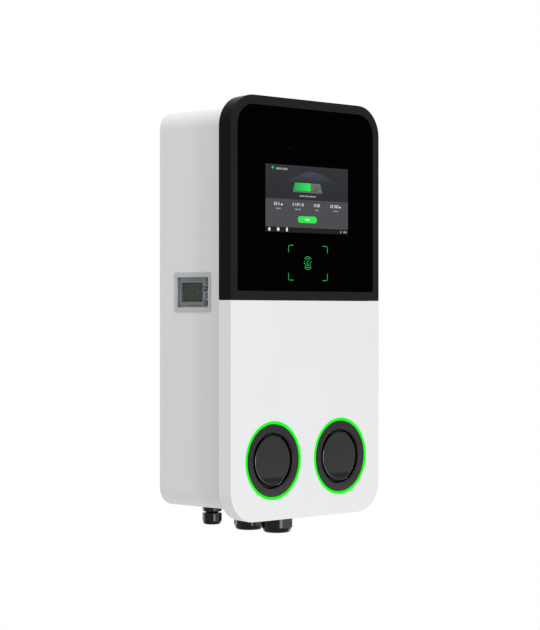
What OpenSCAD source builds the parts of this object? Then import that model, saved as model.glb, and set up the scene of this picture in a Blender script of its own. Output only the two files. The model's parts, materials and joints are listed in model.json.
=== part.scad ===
// Wall-mounted charger for electric cars: two covered sockets with light rings, a screen and
// a card field behind black glass, and a side window for the energy meter. Millimetres.
// The origin is the middle of the four wall bolts, on the wall. X runs to the right as seen
// from the front, Y runs into the wall and Z is up.

/* [Front cover] */
// Width of the front cover
cover_w = 318; // [265:1:400]
// Height of the front cover
cover_h = 620; // [516:1:760]
// Depth of the front cover, from its face to its back edge
cover_depth = 25; // [22:1:30]
// Corner radius of the front cover
cover_corner_r = 46; // [40:1:66]
// Wall of the bezel and of the lower panel
cover_wall = 3; // [2:0.5:4]
// Height of the white lower panel
lower_h = 322; // [270:1:390]
// Front thickness of the lower panel
panel_face_t = 3.5; // [3:0.5:5]
// Gap between the bezel and the lower panel
seam = 0.4; // [0.2:0.1:1]
// Thickness of the frame that carries bezel and panel
frame_t = 3; // [2:0.5:4]

/* [Rear housing] */
// Depth of the housing, from the wall to the front cover
housing_depth = 144; // [130:1:175]
// How far the housing stands inside the edge of the front cover
housing_inset = 16; // [14:1:22]
// Corner radius of the housing
housing_corner_r = 27; // [22:1:36]
// Wall of the housing
housing_wall = 3.5; // [2.9:0.1:4.2]
// Width of the front rim that takes the gasket and the frame screws
rim_w = 16; // [15:1:20]
// Thickness of the front rim
rim_t = 4; // [3:0.5:6]
// Depth of the pocket for the wall bracket
bracket_pocket = 10; // [10:1:14]
// Thickness of the gasket behind the front cover
gasket_t = 2; // [1:0.5:3]

/* [Glass and screen] */
// Margin of the bezel around the glass
glass_margin = 13.7; // [12:0.1:18]
// Thickness of the glass
glass_t = 3; // [2:0.5:4]
// Small radius at the lower corners of the glass
glass_low_r = 3; // [1:0.5:6]
// Thickness of the ledge behind the glass
ledge_t = 3; // [2:0.5:4]
// Width of the ledge behind the glass
ledge_w = 8; // [6:1:10]
// Width of the display module
display_w = 193; // [160:1:200]
// Height of the display module
display_h = 117; // [97:1:125]
// Thickness of the display module
display_t = 6.5; // [5:0.5:8]
// Middle of the display under the top of the cover
display_drop = 148; // [125:1:152]
// Middle of the card field over the lower panel
card_rise = 55; // [50:1:58]

/* [Sockets] */
// Distance between the two sockets
socket_pitch = 143.4; // [132:0.2:150]
// Middle of the sockets over the bottom of the cover
socket_rise = 87.4; // [82:0.2:104]
// Radius of the round well in front of each socket
well_r = 40.4; // [34:0.1:44]
// Chamfer at the mouth of each well
well_edge = 1.7; // [1.6:0.1:2]
// Gap between a lid and the wall of its well
lid_gap = 4.2; // [3.8:0.1:5]
// Width of the dark ring around each well
annulus_w = 13.1; // [10:0.1:14]
// Visible width of the light rings
ring_w = 4; // [3:0.1:6]
// Thickness of the lids
lid_t = 5; // [4.6:0.2:6]
// How far the lids stand behind the face of the cover
lid_recess = 1.8; // [1.5:0.1:2.2]
// Start of the turned-out lip under the middle of the lid
lip_drop = 24; // [18:0.5:26]
// How far the lip reaches out from the lid
lip_reach = 6.5; // [5:0.5:9]
// Thickness of the seal on the back of the lids
seal_t = 1.8; // [1.2:0.2:2.4]
// Inner radius of the socket, outside the plug
bore_r = 28.3; // [27.5:0.1:29]
// Flat of the socket over its middle
bore_flat = 23.5; // [22.5:0.1:24.5]
// Depth of the socket
bore_depth = 46; // [40:1:52]
// Radius of the contact carrier, inside the plug
carrier_r = 22.3; // [21.5:0.1:22.8]
// Flat of the contact carrier over its middle
carrier_flat = 17.5; // [17:0.1:18]
// Inner radius of the power contacts
power_pin_r = 3.05; // [2.5:0.05:3.2]
// Inner radius of the signal contacts
signal_pin_r = 1.55; // [1.3:0.05:1.7]

/* [Lid hinges and locks] */
// Radius of the hinge pins
pin_r = 0.8; // [0.7:0.05:0.9]
// Radial play of a lid on its pin
pin_play = 0.05; // [0.02:0.01:0.08]
// Skin of the lid in front of its hinge
lid_skin = 0.45; // [0.4:0.05:0.55]
// Hinge axis under the upper edge of the lid
hinge_drop = 1.6; // [1.4:0.1:2]
// Half the length of the hinge knuckle in the lid
knuckle_half = 7; // [6:0.5:8]
// Wire radius of the lid springs
wire_r = 0.25; // [0.2:0.05:0.3]
// Turns of the lid springs
spring_turns = 4; // [3:1:4]
// Radius of the lock bolts
bolt_r = 3; // [2.5:0.1:3.6]
// Travel of the lock bolts
bolt_travel = 5; // [3:0.5:5]

/* [Energy meter] */
// Middle of the meter window in front of the wall
meter_from_wall = 72; // [64:1:78]
// Middle of the meter window over the bottom of the housing
meter_rise = 318; // [300:1:360]
// Width of the meter frame
meter_frame_w = 78; // [74:1:90]
// Height of the meter frame
meter_frame_h = 58.4; // [54:0.2:66]
// Width of the meter window
window_w = 67.6; // [58:0.2:68]
// Height of the meter window
window_h = 44.2; // [38:0.2:45]
// How far the meter face stands behind the meter frame
meter_recess = 5; // [5:0.1:6]
// Width of the meter display
lcd_w = 43; // [36:0.2:46]
// Height of the meter display
lcd_h = 27.2; // [24:0.2:30]
// How far the meter display stands behind the meter face
lcd_sink = 1.2; // [0:0.1:2]
// Width of the meter keys
key_w = 7.6; // [6.4:0.1:8]
// Height of the meter keys
key_h = 6.4; // [5.4:0.1:7.6]
// How far the first and third key stand further forward than the others
key_stagger = 4.2; // [0:0.1:4.4]
// Travel of the meter keys
key_travel = 0.8; // [0.4:0.1:1]

/* [Cable glands] */
// Rear power gland in front of the wall
gland_from_wall = 45; // [42:1:50]
// Distance between the two power glands
gland_pitch = 60; // [52:1:66]
// Sideways place of the data gland, left of the middle
data_gland_x = 78; // [65:1:94]
// Thread radius of the power glands
power_thread_r = 16; // [13:0.1:19.2]
// Thread radius of the data gland
data_thread_r = 10; // [9:0.5:12]

/* [Wall bracket] */
// Sideways distance of the wall bolts
wall_bolt_x = 160; // [134:1:170]
// Upright distance of the wall bolts
wall_bolt_z = 360; // [300:1:400]
// Radius of the wall bolt holes
wall_bolt_r = 4.5; // [3.5:0.1:5.5]
// Sheet thickness of the wall bracket and of the hanger rail
sheet_t = 2; // [1.5:0.1:2.2]

/* [Hidden] */
$fn = 64;

// Fits shared by several pieces
fit_gap = 0.3;
loose_gap = 0.2;
close_gap = 0.1;
slide_play = 0.08;
cut = 1;

// Planes from the front to the wall
y_front = -(cover_depth + housing_depth);
y_seam = -housing_depth;
y_frame = y_seam - frame_t;
y_back = -bracket_pocket;
y_back_in = y_back - housing_wall;
cover_top = cover_h / 2;
cover_low = -cover_h / 2;
split_z = cover_low + lower_h;
housing_w = cover_w - 2 * housing_inset;
housing_h = cover_h - 2 * housing_inset;
housing_top = housing_h / 2;
housing_low = -housing_h / 2;

// Front edge of the housing: a lip that hides the gasket
edge_w = 2;
gasket_w = 6;

// Screws: the inner ones are all alike
head_r = 2.8;
head_h = 2;
shank_r = 1.45;
shank_l = 8;
pilot_r = shank_r + 0.05;
pass_r = shank_r + 0.35;
boss_r = 4.5;

// Screen stack behind the glass
bezel_face_t = glass_t + ledge_t;
display_z = cover_top - display_drop;
tray_t = 1.5;
y_tray = y_front + bezel_face_t;
y_tray_back = y_front + glass_t + display_t;
post_h = 5;
board_t = 1.6;
y_display_board = y_tray_back + tray_t + post_h;
display_board_w = 150;
display_board_h = 88;
card_w = 86;
card_h = 54;
card_z = split_z + card_rise;

// Socket stack
socket_x = socket_pitch / 2;
socket_z = cover_low + socket_rise;
bezel_sink = 0.3;
lid_r = well_r - lid_gap;
annulus_r = well_r + annulus_w;
ring_r = annulus_r + loose_gap + ring_w;
well_wall = 5.5;
tube_r = well_r + well_wall;
guide_in_r = tube_r + 0.5;
guide_out_r = ring_r + 5;
guide_t = 1.5;
y_guide = y_front + panel_face_t;
led_h = 1.3;
led_n = 24;
y_led_board = y_guide + guide_t + led_h + close_gap;
lid_y0 = y_front + lid_recess;
lid_y1 = lid_y0 + lid_t;
lip_h = lid_r - lip_drop;
lip_r = (lip_h * lip_h + lip_reach * lip_reach) / (2 * lip_reach);
seal_out_r = lid_r - 4;
seal_in_r = seal_out_r - 2.6;
face_y = lid_y1 + seal_t + fit_gap;
bore_end = face_y + bore_depth;
shell_wall = 3.7;
shell_r = bore_r + shell_wall;
shell_back_t = 4;
flange_w = 2 * (tube_r + 2.5);
flange_t = 4;
collar_r = well_r - 2 * loose_gap;
collar_wall = 3;
carrier_y = face_y + 8;
sleeve_wall = 0.95;
tail_r = 2;
tail_out = 10;
flange_screw_r = well_r + well_wall / 2;
power_spots = [[0, 0], [-14.6, 0], [14.6, 0], [-8.7, -14], [8.7, -14]];
signal_spots = [[-7, 11.6], [7, 11.6]];

// Hinge and lock
coil_r = pin_r + 0.15 + wire_r;
coil_pitch = 2 * wire_r + 0.3;
coil_x = knuckle_half + wire_r + fit_gap;
hinge_y = lid_y0 + lid_skin + close_gap + coil_r + wire_r;
hinge_z = lid_r - hinge_drop;
pocket_r = coil_r + wire_r + 0.4;
pin_half = 23;
leg_l = 1.4;
spring_leg = lid_gap + hinge_drop;
lock_y = y_seam + 18;
lock_pad_w = 30;
lock_pad_z = shell_r + 1;
lock_h = 28;
lock_l = 24;
bolt_z0 = bore_flat + 0.5;
bolt_guide = 8;
bolt_l = lock_pad_z - bolt_z0 + bolt_travel + bolt_guide;

// Meter
meter_y = -meter_from_wall;
meter_z = housing_low + meter_rise;
side_x = -housing_w / 2;
frame_proud = 1;
face_x = side_x - frame_proud + meter_recess;
meter_w = 72;
meter_h = 94.5;
meter_d = 65;
meter_step = 20;
meter_nose_w = 70;
meter_nose_h = 45;
slot_d = 6;
rail_h = 35;
rail_d = 7.5;
rail_t = 1;
rail_x = face_x + meter_d - slot_d + close_gap;
lcd_y = meter_y + 5.4;
lcd_t = 1;
key_gap = 3.6;
key_y = lcd_y - lcd_w / 2 - key_gap - key_w / 2;
key_pitch = 10.2;
key_top = 0.9;
key_l = 2.8;
window_t = 1.5;
window_seat = 1.7;
collar_t = 1;
window_lap = 1.2;
collar_w = window_w + 2 * (window_lap + collar_t);
collar_h = window_h + 2 * (window_lap + collar_t);

// Chassis
stand_h = 5;
plate_t = 2;
y_plate = y_back_in - stand_h - plate_t;
plate_w = housing_w - 2 * (housing_wall + 14);
plate_h = housing_h - 68;
y_board = y_plate - post_h - board_t;
power_board_w = plate_w - 12;
power_board_low = socket_z - 27;
power_board_h = 200;
control_w = 150;
control_h = 104;
control_z = housing_top - 128;
control_x = plate_w / 2 - control_w / 2 - 8;
foot_w = 24;

// Glands: hexagon across flats over thread radius, and the share of its corners that is left
flat_share = 2.69;
corner_share = 0.95;
power_flat = power_thread_r * flat_share;
data_flat = data_thread_r * flat_share;
gland_in = 12;
locknut_h = 6;
cap_end = 4;

// Wall bracket
bracket_w = wall_bolt_x + 40;
bracket_h = wall_bolt_z + 70;
lip_up = 13;
hook_gap = 0.5;
lip_gap = sheet_t + 2 * hook_gap;
hanger_w = wall_bolt_x - 10;
hanger_plate_h = 22;
hook_z = bracket_h / 2 + lip_up;

// Shapes drawn in X and Z, then carried along Y
module xz(y0, y1) {
    translate([0, y1, 0])
        rotate([90, 0, 0])
            linear_extrude(y1 - y0)
                children();
}

// Shapes drawn in Y and Z, then carried along X
module yz(x0, x1) {
    translate([x0, 0, 0])
        rotate([90, 0, 90])
            linear_extrude(x1 - x0)
                children();
}

module ycyl(r, y0, y1) {
    translate([0, y1, 0])
        rotate([90, 0, 0])
            cylinder(r = r, h = y1 - y0);
}

module xcyl(r, x0, x1) {
    translate([x0, 0, 0])
        rotate([0, 90, 0])
            cylinder(r = r, h = x1 - x0);
}

// A rectangle from z0 to z1 with one radius at its upper and one at its lower corners
module panel_2d(w, z0, z1, r_up, r_low) {
    translate([-w / 2, z0 + r_low])
        square([w, z1 - z0 - r_up - r_low]);
    if (r_up > 0) {
        translate([-w / 2 + r_up, z1 - 2 * r_up])
            square([w - 2 * r_up, 2 * r_up]);
        for (s = [-1, 1])
            translate([s * (w / 2 - r_up), z1 - r_up])
                circle(r_up);
    }
    if (r_low > 0) {
        translate([-w / 2 + r_low, z0])
            square([w - 2 * r_low, 2 * r_low]);
        for (s = [-1, 1])
            translate([s * (w / 2 - r_low), z0 + r_low])
                circle(r_low);
    }
}

// Outline of the whole cover, moved inwards
module cover_2d(inset) {
    panel_2d(cover_w - 2 * inset, cover_low + inset, cover_top - inset,
        cover_corner_r - inset, cover_corner_r - inset);
}

module upper_2d(inset) {
    panel_2d(cover_w - 2 * inset, split_z + seam / 2 + inset, cover_top - inset,
        cover_corner_r - inset, 0);
}

module lower_2d(inset) {
    panel_2d(cover_w - 2 * inset, cover_low + inset, split_z - seam / 2 - inset, 0,
        cover_corner_r - inset);
}

module glass_2d(inset) {
    panel_2d(cover_w - 2 * (glass_margin + inset), split_z + glass_margin + inset,
        cover_top - glass_margin - inset, cover_corner_r - glass_margin - inset, glass_low_r);
}

module housing_2d(inset) {
    panel_2d(housing_w - 2 * inset, housing_low + inset, housing_top - inset,
        housing_corner_r - min(inset, housing_corner_r - 1),
        housing_corner_r - min(inset, housing_corner_r - 1));
}

// Places of the screws that hold bezel and panel from behind
screw_in = 9;
upper_spots = [for (s = [-1, 1])
    each [[s * (cover_w / 2 - screw_in), split_z + 24],
        [s * (cover_w / 2 - screw_in), (split_z + cover_top) / 2],
        [s * (cover_w / 2 - screw_in), cover_top - cover_corner_r - 23],
        [s * 50, cover_top - screw_in]]];
lower_spots = [for (s = [-1, 1])
    each [[s * (cover_w / 2 - screw_in), split_z - 24],
        [s * (cover_w / 2 - screw_in), (split_z + cover_low) / 2],
        [s * (cover_w / 2 - screw_in), cover_low + cover_corner_r + 23],
        [s * 50, cover_low + screw_in]]];

// Places of the screws between frame and housing rim
rim_in = 12;
rim_spots = [for (s = [-1, 1])
    each [[s * (housing_w / 2 - rim_in), housing_top - 60],
        [s * (housing_w / 2 - rim_in), -70],
        [s * (housing_w / 2 - rim_in), housing_low + 36],
        [s * 50, housing_top - rim_in]]];

plate_spots = [for (x = [-1, 1], z = [-1, 0, 1])
    [x * (plate_w / 2 - 10), z * (plate_h / 2 - 10)]];
flange_spots = [for (a = [45:90:315])
    [flange_screw_r * cos(a), flange_screw_r * sin(a)]];
power_board_spots = [for (x = [-1, 1], z = [0, 1])
    [x * (power_board_w / 2 - 6), power_board_low + 6 + z * (power_board_h - 12)]];
control_spots = [for (x = [-1, 1], z = [-1, 1])
    [control_x + x * (control_w / 2 - 6), control_z + z * (control_h / 2 - 6)]];
display_board_spots = [for (x = [-1, 1], z = [-1, 1])
    [x * (display_board_w / 2 - 5), display_z + z * (display_board_h / 2 - 5)]];
foot_spots = [for (z = [-1, 1])
    [rail_x + rail_d + plate_t + foot_w / 2, meter_z + z * 36]];
hanger_spots = [for (s = [-1, 0, 1])
    [s * (hanger_w / 2 - 15), hook_z + hanger_plate_h - 8]];

// Holes along Y at a list of X and Z places
module drill(spots, r, y0, y1) {
    for (p = spots)
        translate([p[0], 0, p[1]])
            ycyl(r, y0, y1);
}

// Screws with the head in front of plane y and the shank towards the wall
module screws_in(spots, y, l) {
    for (p = spots)
        translate([p[0], 0, p[1]])
            difference() {
                union() {
                    ycyl(head_r, y - head_h, y);
                    ycyl(shank_r, y - head_h, y + l);
                }
                translate([0, y - head_h + 1, 0])
                    rotate([90, 0, 0])
                        cylinder(r = 1.4, h = 1 + cut, $fn = 6);
            }
}

// Screws with the head behind plane y and the shank towards the front
module screws_out(spots, y, l) {
    for (p = spots)
        translate([p[0], 0, p[1]])
            difference() {
                union() {
                    ycyl(head_r, y, y + head_h);
                    ycyl(shank_r, y - l, y + head_h);
                }
                translate([0, y + head_h + cut, 0])
                    rotate([90, 0, 0])
                        cylinder(r = 1.4, h = 1 + cut, $fn = 6);
            }
}

module wall_bracket() {
    color([0.62, 0.64, 0.66])
        difference() {
            union() {
                xz(-sheet_t, 0)
                    panel_2d(bracket_w, -bracket_h / 2, bracket_h / 2, 10, 10);
                translate([-hanger_w / 2, -2 * sheet_t - lip_gap, bracket_h / 2 - sheet_t])
                    cube([hanger_w, 2 * sheet_t + lip_gap, sheet_t]);
                translate([-hanger_w / 2, -2 * sheet_t - lip_gap, bracket_h / 2 - sheet_t])
                    cube([hanger_w, sheet_t, sheet_t + lip_up]);
            }
            for (x = [-1, 1], z = [-1, 1])
                translate([x * wall_bolt_x / 2, 0, z * wall_bolt_z / 2])
                    ycyl(wall_bolt_r, -sheet_t - cut, cut);
            for (s = [-1, 1])
                translate([0, 0, s * wall_bolt_z / 4])
                    xz(-sheet_t - cut, cut)
                        panel_2d(wall_bolt_x - 50, -wall_bolt_z / 8, wall_bolt_z / 8, 8, 8);
        }
}

// Hooks over the upturned lip of the bracket
module hanger_rail() {
    color([0.55, 0.57, 0.6])
        difference() {
            union() {
                translate([-hanger_w / 2, y_back, hook_z])
                    cube([hanger_w, sheet_t, hanger_plate_h]);
                translate([-hanger_w / 2, y_back, hook_z])
                    cube([hanger_w, bracket_pocket - sheet_t - hook_gap, sheet_t]);
                translate([-hanger_w / 2, -2 * sheet_t - hook_gap, hook_z - lip_up + sheet_t])
                    cube([hanger_w, sheet_t, lip_up]);
            }
            drill(hanger_spots, pass_r, y_back - cut, y_back + sheet_t + cut);
        }
}

module rear_housing() {
    color([0.86, 0.86, 0.87]) {
        difference() {
            xz(y_seam + fit_gap, 0)
                housing_2d(0);
            xz(y_seam, y_seam + gasket_t)
                housing_2d(edge_w);
            xz(y_seam, y_seam + gasket_t + rim_t + cut)
                housing_2d(rim_w);
            xz(y_seam + gasket_t + rim_t, y_back_in)
                housing_2d(housing_wall);
            xz(y_back, cut)
                housing_2d(housing_wall);
            drill(rim_spots, pilot_r, y_seam, y_seam + gasket_t + rim_t + cut);
            drill(hanger_spots, pilot_r, y_back_in - cut, y_back + cut);
            translate([side_x - cut, meter_y, meter_z])
                yz(0, housing_wall + 2 * cut)
                    panel_2d(collar_w + 2 * loose_gap, -collar_h / 2 - loose_gap,
                        collar_h / 2 + loose_gap, 2, 2);
            gland_places()
                translate([0, 0, housing_low - cut])
                    cylinder(r = $thread_r + loose_gap, h = housing_wall + 2 * cut);
        }
        difference() {
            union() {
                for (p = plate_spots)
                    translate([p[0], 0, p[1]])
                        ycyl(6, y_back_in - stand_h, y_back_in + cut);
                for (p = hanger_spots)
                    translate([p[0], 0, p[1]])
                        ycyl(boss_r, y_back_in - stand_h, y_back_in + cut);
            }
            drill(plate_spots, pilot_r, y_back_in - stand_h - cut, y_back_in - 0.5);
            drill(hanger_spots, pilot_r, y_back_in - stand_h - cut, y_back + cut);
        }
    }
}

module cover_gasket() {
    color([0.12, 0.12, 0.12])
        difference() {
            xz(y_seam, y_seam + gasket_t)
                housing_2d(edge_w + fit_gap);
            xz(y_seam - cut, y_seam + gasket_t + cut)
                housing_2d(edge_w + fit_gap + gasket_w);
        }
}

module front_frame() {
    color([0.42, 0.43, 0.45])
        difference() {
            xz(y_frame, y_seam)
                cover_2d(cover_wall + fit_gap);
            xz(y_frame - cut, y_seam + cut)
                panel_2d(housing_w - 2 * rim_w - 14, split_z + 14, housing_top - rim_w - 7, 12, 12);
            drill([[-socket_x, socket_z], [socket_x, socket_z]], tube_r + fit_gap,
                y_frame - cut, y_seam + cut);
            drill(concat(upper_spots, lower_spots, rim_spots), pass_r, y_frame - cut, y_seam + cut);
        }
}

// Room for the frame inside the walls of bezel and panel
module frame_room() {
    xz(y_frame, y_seam + cut)
        cover_2d(cover_wall);
}

module upper_bezel() {
    color([0.09, 0.09, 0.1])
        difference() {
            union() {
                difference() {
                    xz(y_front, y_seam)
                        upper_2d(0);
                    xz(y_tray, y_seam + cut)
                        upper_2d(cover_wall);
                }
                for (p = upper_spots)
                    translate([p[0], 0, p[1]])
                        ycyl(boss_r, y_tray - cut, y_frame);
            }
            frame_room();
            xz(y_front - cut, y_front + glass_t)
                glass_2d(-loose_gap);
            xz(y_front, y_tray + cut)
                glass_2d(ledge_w);
            drill(upper_spots, pilot_r, y_frame - 9, y_frame + cut);
        }
}

module glass_panel() {
    color([0.01, 0.01, 0.012])
        xz(y_front, y_front + glass_t)
            glass_2d(0);
}

module display_module() {
    color([0.25, 0.26, 0.28])
        translate([-display_w / 2, y_front + glass_t, display_z - display_h / 2])
            cube([display_w, display_t, display_h]);
}

// Sheet tray behind the glass: carries the display, its board and the card reader
module display_tray() {
    tray_in = screw_in + boss_r + fit_gap;
    pan_w = display_w + 2 * loose_gap;
    pan_h = display_h + 2 * loose_gap;
    color([0.66, 0.67, 0.69])
        difference() {
            union() {
                xz(y_tray, y_tray + tray_t)
                    panel_2d(cover_w - 2 * tray_in, split_z + glass_margin + 4,
                        cover_top - tray_in, cover_corner_r - tray_in, 0);
                translate([-pan_w / 2 - tray_t, y_tray, display_z - pan_h / 2 - tray_t])
                    cube([pan_w + 2 * tray_t, y_tray_back + tray_t - y_tray, pan_h + 2 * tray_t]);
                for (p = display_board_spots)
                    translate([p[0], 0, p[1]])
                        ycyl(3, y_tray_back, y_display_board);
            }
            translate([-pan_w / 2, y_tray - cut, display_z - pan_h / 2])
                cube([pan_w, y_tray_back - y_tray + cut, pan_h]);
            drill(display_board_spots, pilot_r, y_tray_back + 0.5, y_display_board + cut);
        }
}

// A circuit board from y to the wall side, with a few parts on the front or the back
module board(x, z, w, h, y) {
    translate([x - w / 2, y, z - h / 2])
        cube([w, board_t, h]);
}

module display_board() {
    chip_h = 3;
    color([0.1, 0.32, 0.18])
        difference() {
            union() {
                board(0, display_z, display_board_w, display_board_h, y_display_board);
                for (p = [[-30, 8, 26, 26], [20, 12, 16, 20], [30, -24, 44, 9], [-44, -26, 30, 9]])
                    translate([p[0] - p[2] / 2, y_display_board, display_z + p[1] - p[3] / 2])
                        cube([p[2], board_t + chip_h, p[3]]);
            }
            drill(display_board_spots, pass_r, y_display_board - cut, y_display_board + board_t + cut);
        }
}

module card_reader() {
    color([0.1, 0.3, 0.2])
        difference() {
            board(0, card_z, card_w + 6, card_h + 6, y_tray - board_t);
            xz(y_tray - board_t - cut, y_tray - board_t + 0.2)
                difference() {
                    square_at(0, card_z, card_w, card_h);
                    square_at(0, card_z, card_w - 4, card_h - 4);
                }
        }
}

module square_at(x, z, w, h) {
    translate([x - w / 2, z - h / 2])
        square([w, h]);
}

module lower_panel() {
    color([0.92, 0.92, 0.93])
        difference() {
            union() {
                difference() {
                    xz(y_front, y_seam)
                        lower_2d(0);
                    xz(y_guide, y_seam + cut)
                        lower_2d(cover_wall);
                }
                for (p = lower_spots)
                    translate([p[0], 0, p[1]])
                        ycyl(boss_r, y_guide - cut, y_frame);
            }
            frame_room();
            drill([[-socket_x, socket_z], [socket_x, socket_z]], ring_r + loose_gap,
                y_front - cut, y_guide + cut);
            drill(lower_spots, pilot_r, y_frame - 9, y_frame + cut);
        }
}

// Both sockets are alike: side is -1 on the left and 1 on the right
module at_socket(side) {
    translate([side * socket_x, 0, socket_z])
        children();
}

module at_hinge() {
    translate([0, hinge_y, hinge_z])
        children();
}

module light_guide() {
    color([0.1, 0.95, 0.1])
        difference() {
            union() {
                ycyl(ring_r, y_front, y_guide + cut);
                ycyl(guide_out_r, y_guide, y_led_board + board_t);
            }
            ycyl(annulus_r + loose_gap, y_front - cut, y_guide);
            ycyl(guide_in_r, y_guide - cut, y_led_board + board_t + cut);
            ycyl(guide_out_r - guide_t, y_guide + guide_t, y_led_board + board_t + cut);
        }
}

module light_board() {
    led_r = (ring_r + annulus_r) / 2;
    color([0.93, 0.93, 0.9]) {
        difference() {
            ycyl(guide_out_r - guide_t - loose_gap, y_led_board, y_led_board + board_t);
            ycyl(guide_in_r, y_led_board - cut, y_led_board + board_t + cut);
        }
        for (i = [0:led_n - 1])
            rotate([0, i * 360 / led_n, 0])
                translate([led_r - 1, y_led_board - led_h, -1.5])
                    cube([2, led_h + 0.2, 3]);
    }
}

// Dark ring and round well around a socket
module well() {
    color([0.2, 0.2, 0.2])
        difference() {
            union() {
                ycyl(annulus_r, y_front + bezel_sink, y_guide);
                ycyl(tube_r, y_front + bezel_sink, y_seam);
            }
            ycyl(well_r, y_front - cut, y_seam + cut);
            translate([0, y_front + bezel_sink + well_edge, 0])
                rotate([90, 0, 0])
                    cylinder(r1 = well_r, r2 = well_r + well_edge + cut, h = well_edge + cut);
            at_hinge()
                xcyl(pin_r + pin_play, -pin_half - 0.2, tube_r);
            spring_end()
                cylinder(r = wire_r + close_gap, h = spring_leg + close_gap);
            drill(flange_spots, pilot_r, y_seam - 9, y_seam + cut);
        }
}

// Outer part of the outlet: flange, collar in the well, D-shaped bore and a pad for the lock
module shell() {
    color([0.16, 0.16, 0.17])
        difference() {
            union() {
                xz(y_seam, y_seam + flange_t)
                    panel_2d(flange_w, -flange_w / 2, flange_w / 2, 8, 8);
                ycyl(collar_r, face_y, y_seam + cut);
                ycyl(shell_r, face_y, bore_end + shell_back_t);
                translate([-lock_pad_w / 2, lock_y - lock_l / 2, bore_flat])
                    cube([lock_pad_w, lock_l, lock_pad_z - bore_flat]);
            }
            difference() {
                ycyl(collar_r - collar_wall, face_y + collar_wall, y_seam + flange_t + cut);
                ycyl(shell_r, face_y, y_seam + flange_t + 2 * cut);
            }
            intersection() {
                ycyl(bore_r, face_y - cut, bore_end);
                translate([-bore_r, face_y - cut, -bore_r])
                    cube([2 * bore_r, bore_depth + cut, bore_r + bore_flat]);
            }
            translate([0, lock_y, bore_flat - cut])
                cylinder(r = bolt_r + slide_play, h = lock_pad_z - bore_flat + 2 * cut);
            drill(concat(power_spots, signal_spots), tail_r + close_gap, bore_end - cut,
                bore_end + shell_back_t + cut);
            drill(flange_spots, pass_r, y_seam - cut, y_seam + flange_t + cut);
        }
}

module carrier() {
    color([0.1, 0.1, 0.11])
        difference() {
            intersection() {
                ycyl(carrier_r, carrier_y, bore_end);
                translate([-carrier_r, carrier_y, -carrier_r])
                    cube([2 * carrier_r, bore_end - carrier_y, carrier_r + carrier_flat]);
            }
            drill(power_spots, power_pin_r + sleeve_wall + close_gap, carrier_y - cut, bore_end + cut);
            drill(signal_spots, signal_pin_r + sleeve_wall + close_gap, carrier_y - cut, bore_end + cut);
        }
}

// One contact sleeve with its tail through the back of the shell
module contact(pin_bore_r) {
    sleeve_y = carrier_y + 2;
    difference() {
        union() {
            ycyl(pin_bore_r + sleeve_wall, sleeve_y, bore_end);
            ycyl(tail_r, bore_end - cut, bore_end + shell_back_t + tail_out);
        }
        ycyl(pin_bore_r, sleeve_y - cut, bore_end - 4);
    }
}

module contacts() {
    color([0.78, 0.62, 0.3]) {
        for (p = power_spots)
            translate([p[0], 0, p[1]])
                contact(power_pin_r);
        for (p = signal_spots)
            translate([p[0], 0, p[1]])
                contact(signal_pin_r);
    }
}

module lock_drive() {
    color([0.22, 0.23, 0.25])
        difference() {
            translate([-lock_pad_w / 2, lock_y - lock_l / 2, lock_pad_z])
                cube([lock_pad_w, lock_l, lock_h]);
            translate([0, lock_y, lock_pad_z - cut])
                cylinder(r = bolt_r + slide_play, h = bolt_z0 + bolt_l - lock_pad_z + cut + 0.4);
        }
}

module lock_bolt() {
    color([0.7, 0.71, 0.73])
        translate([0, lock_y, bolt_z0])
            cylinder(r = bolt_r, h = bolt_l);
}

// Side view of the lid: plate, then a lip that turns outwards
module lid_2d() {
    lip_y = lid_y0 - lip_r;
    translate([lid_y0, -lip_drop])
        square([lid_t, lip_drop + lid_r]);
    intersection() {
        difference() {
            translate([lip_y, -lip_drop])
                circle(lip_r + lid_t);
            translate([lip_y, -lip_drop])
                circle(lip_r);
        }
        translate([lip_y, -lip_drop - lip_r - lid_t])
            square([lip_r + lid_t, lip_r + lid_t]);
    }
}

// Round lid with a lip; on its back, pockets for pin and spring leave a knuckle in the middle
module lid() {
    color([0.21, 0.21, 0.21])
        difference() {
            intersection() {
                ycyl(lid_r, y_front - lip_reach - lip_r, lid_y1);
                yz(-lid_r, lid_r)
                    lid_2d();
            }
            for (s = [0, 1])
                mirror([s, 0, 0])
                    translate([knuckle_half, lid_y0 + lid_skin, hinge_z - pocket_r])
                        cube([lid_r, lid_t, lid_r]);
            at_hinge()
                xcyl(pin_r + pin_play, -knuckle_half - cut, knuckle_half + cut);
        }
}

module lid_gasket() {
    color([0.08, 0.08, 0.08])
        difference() {
            ycyl(seal_out_r, lid_y1, lid_y1 + seal_t);
            ycyl(seal_in_r, lid_y1 - cut, lid_y1 + seal_t + cut);
        }
}

// Where the fixed end of the spring goes up into the well
module spring_end() {
    at_hinge()
        translate([coil_x + spring_turns * coil_pitch, coil_r, 0])
            children();
}

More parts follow.
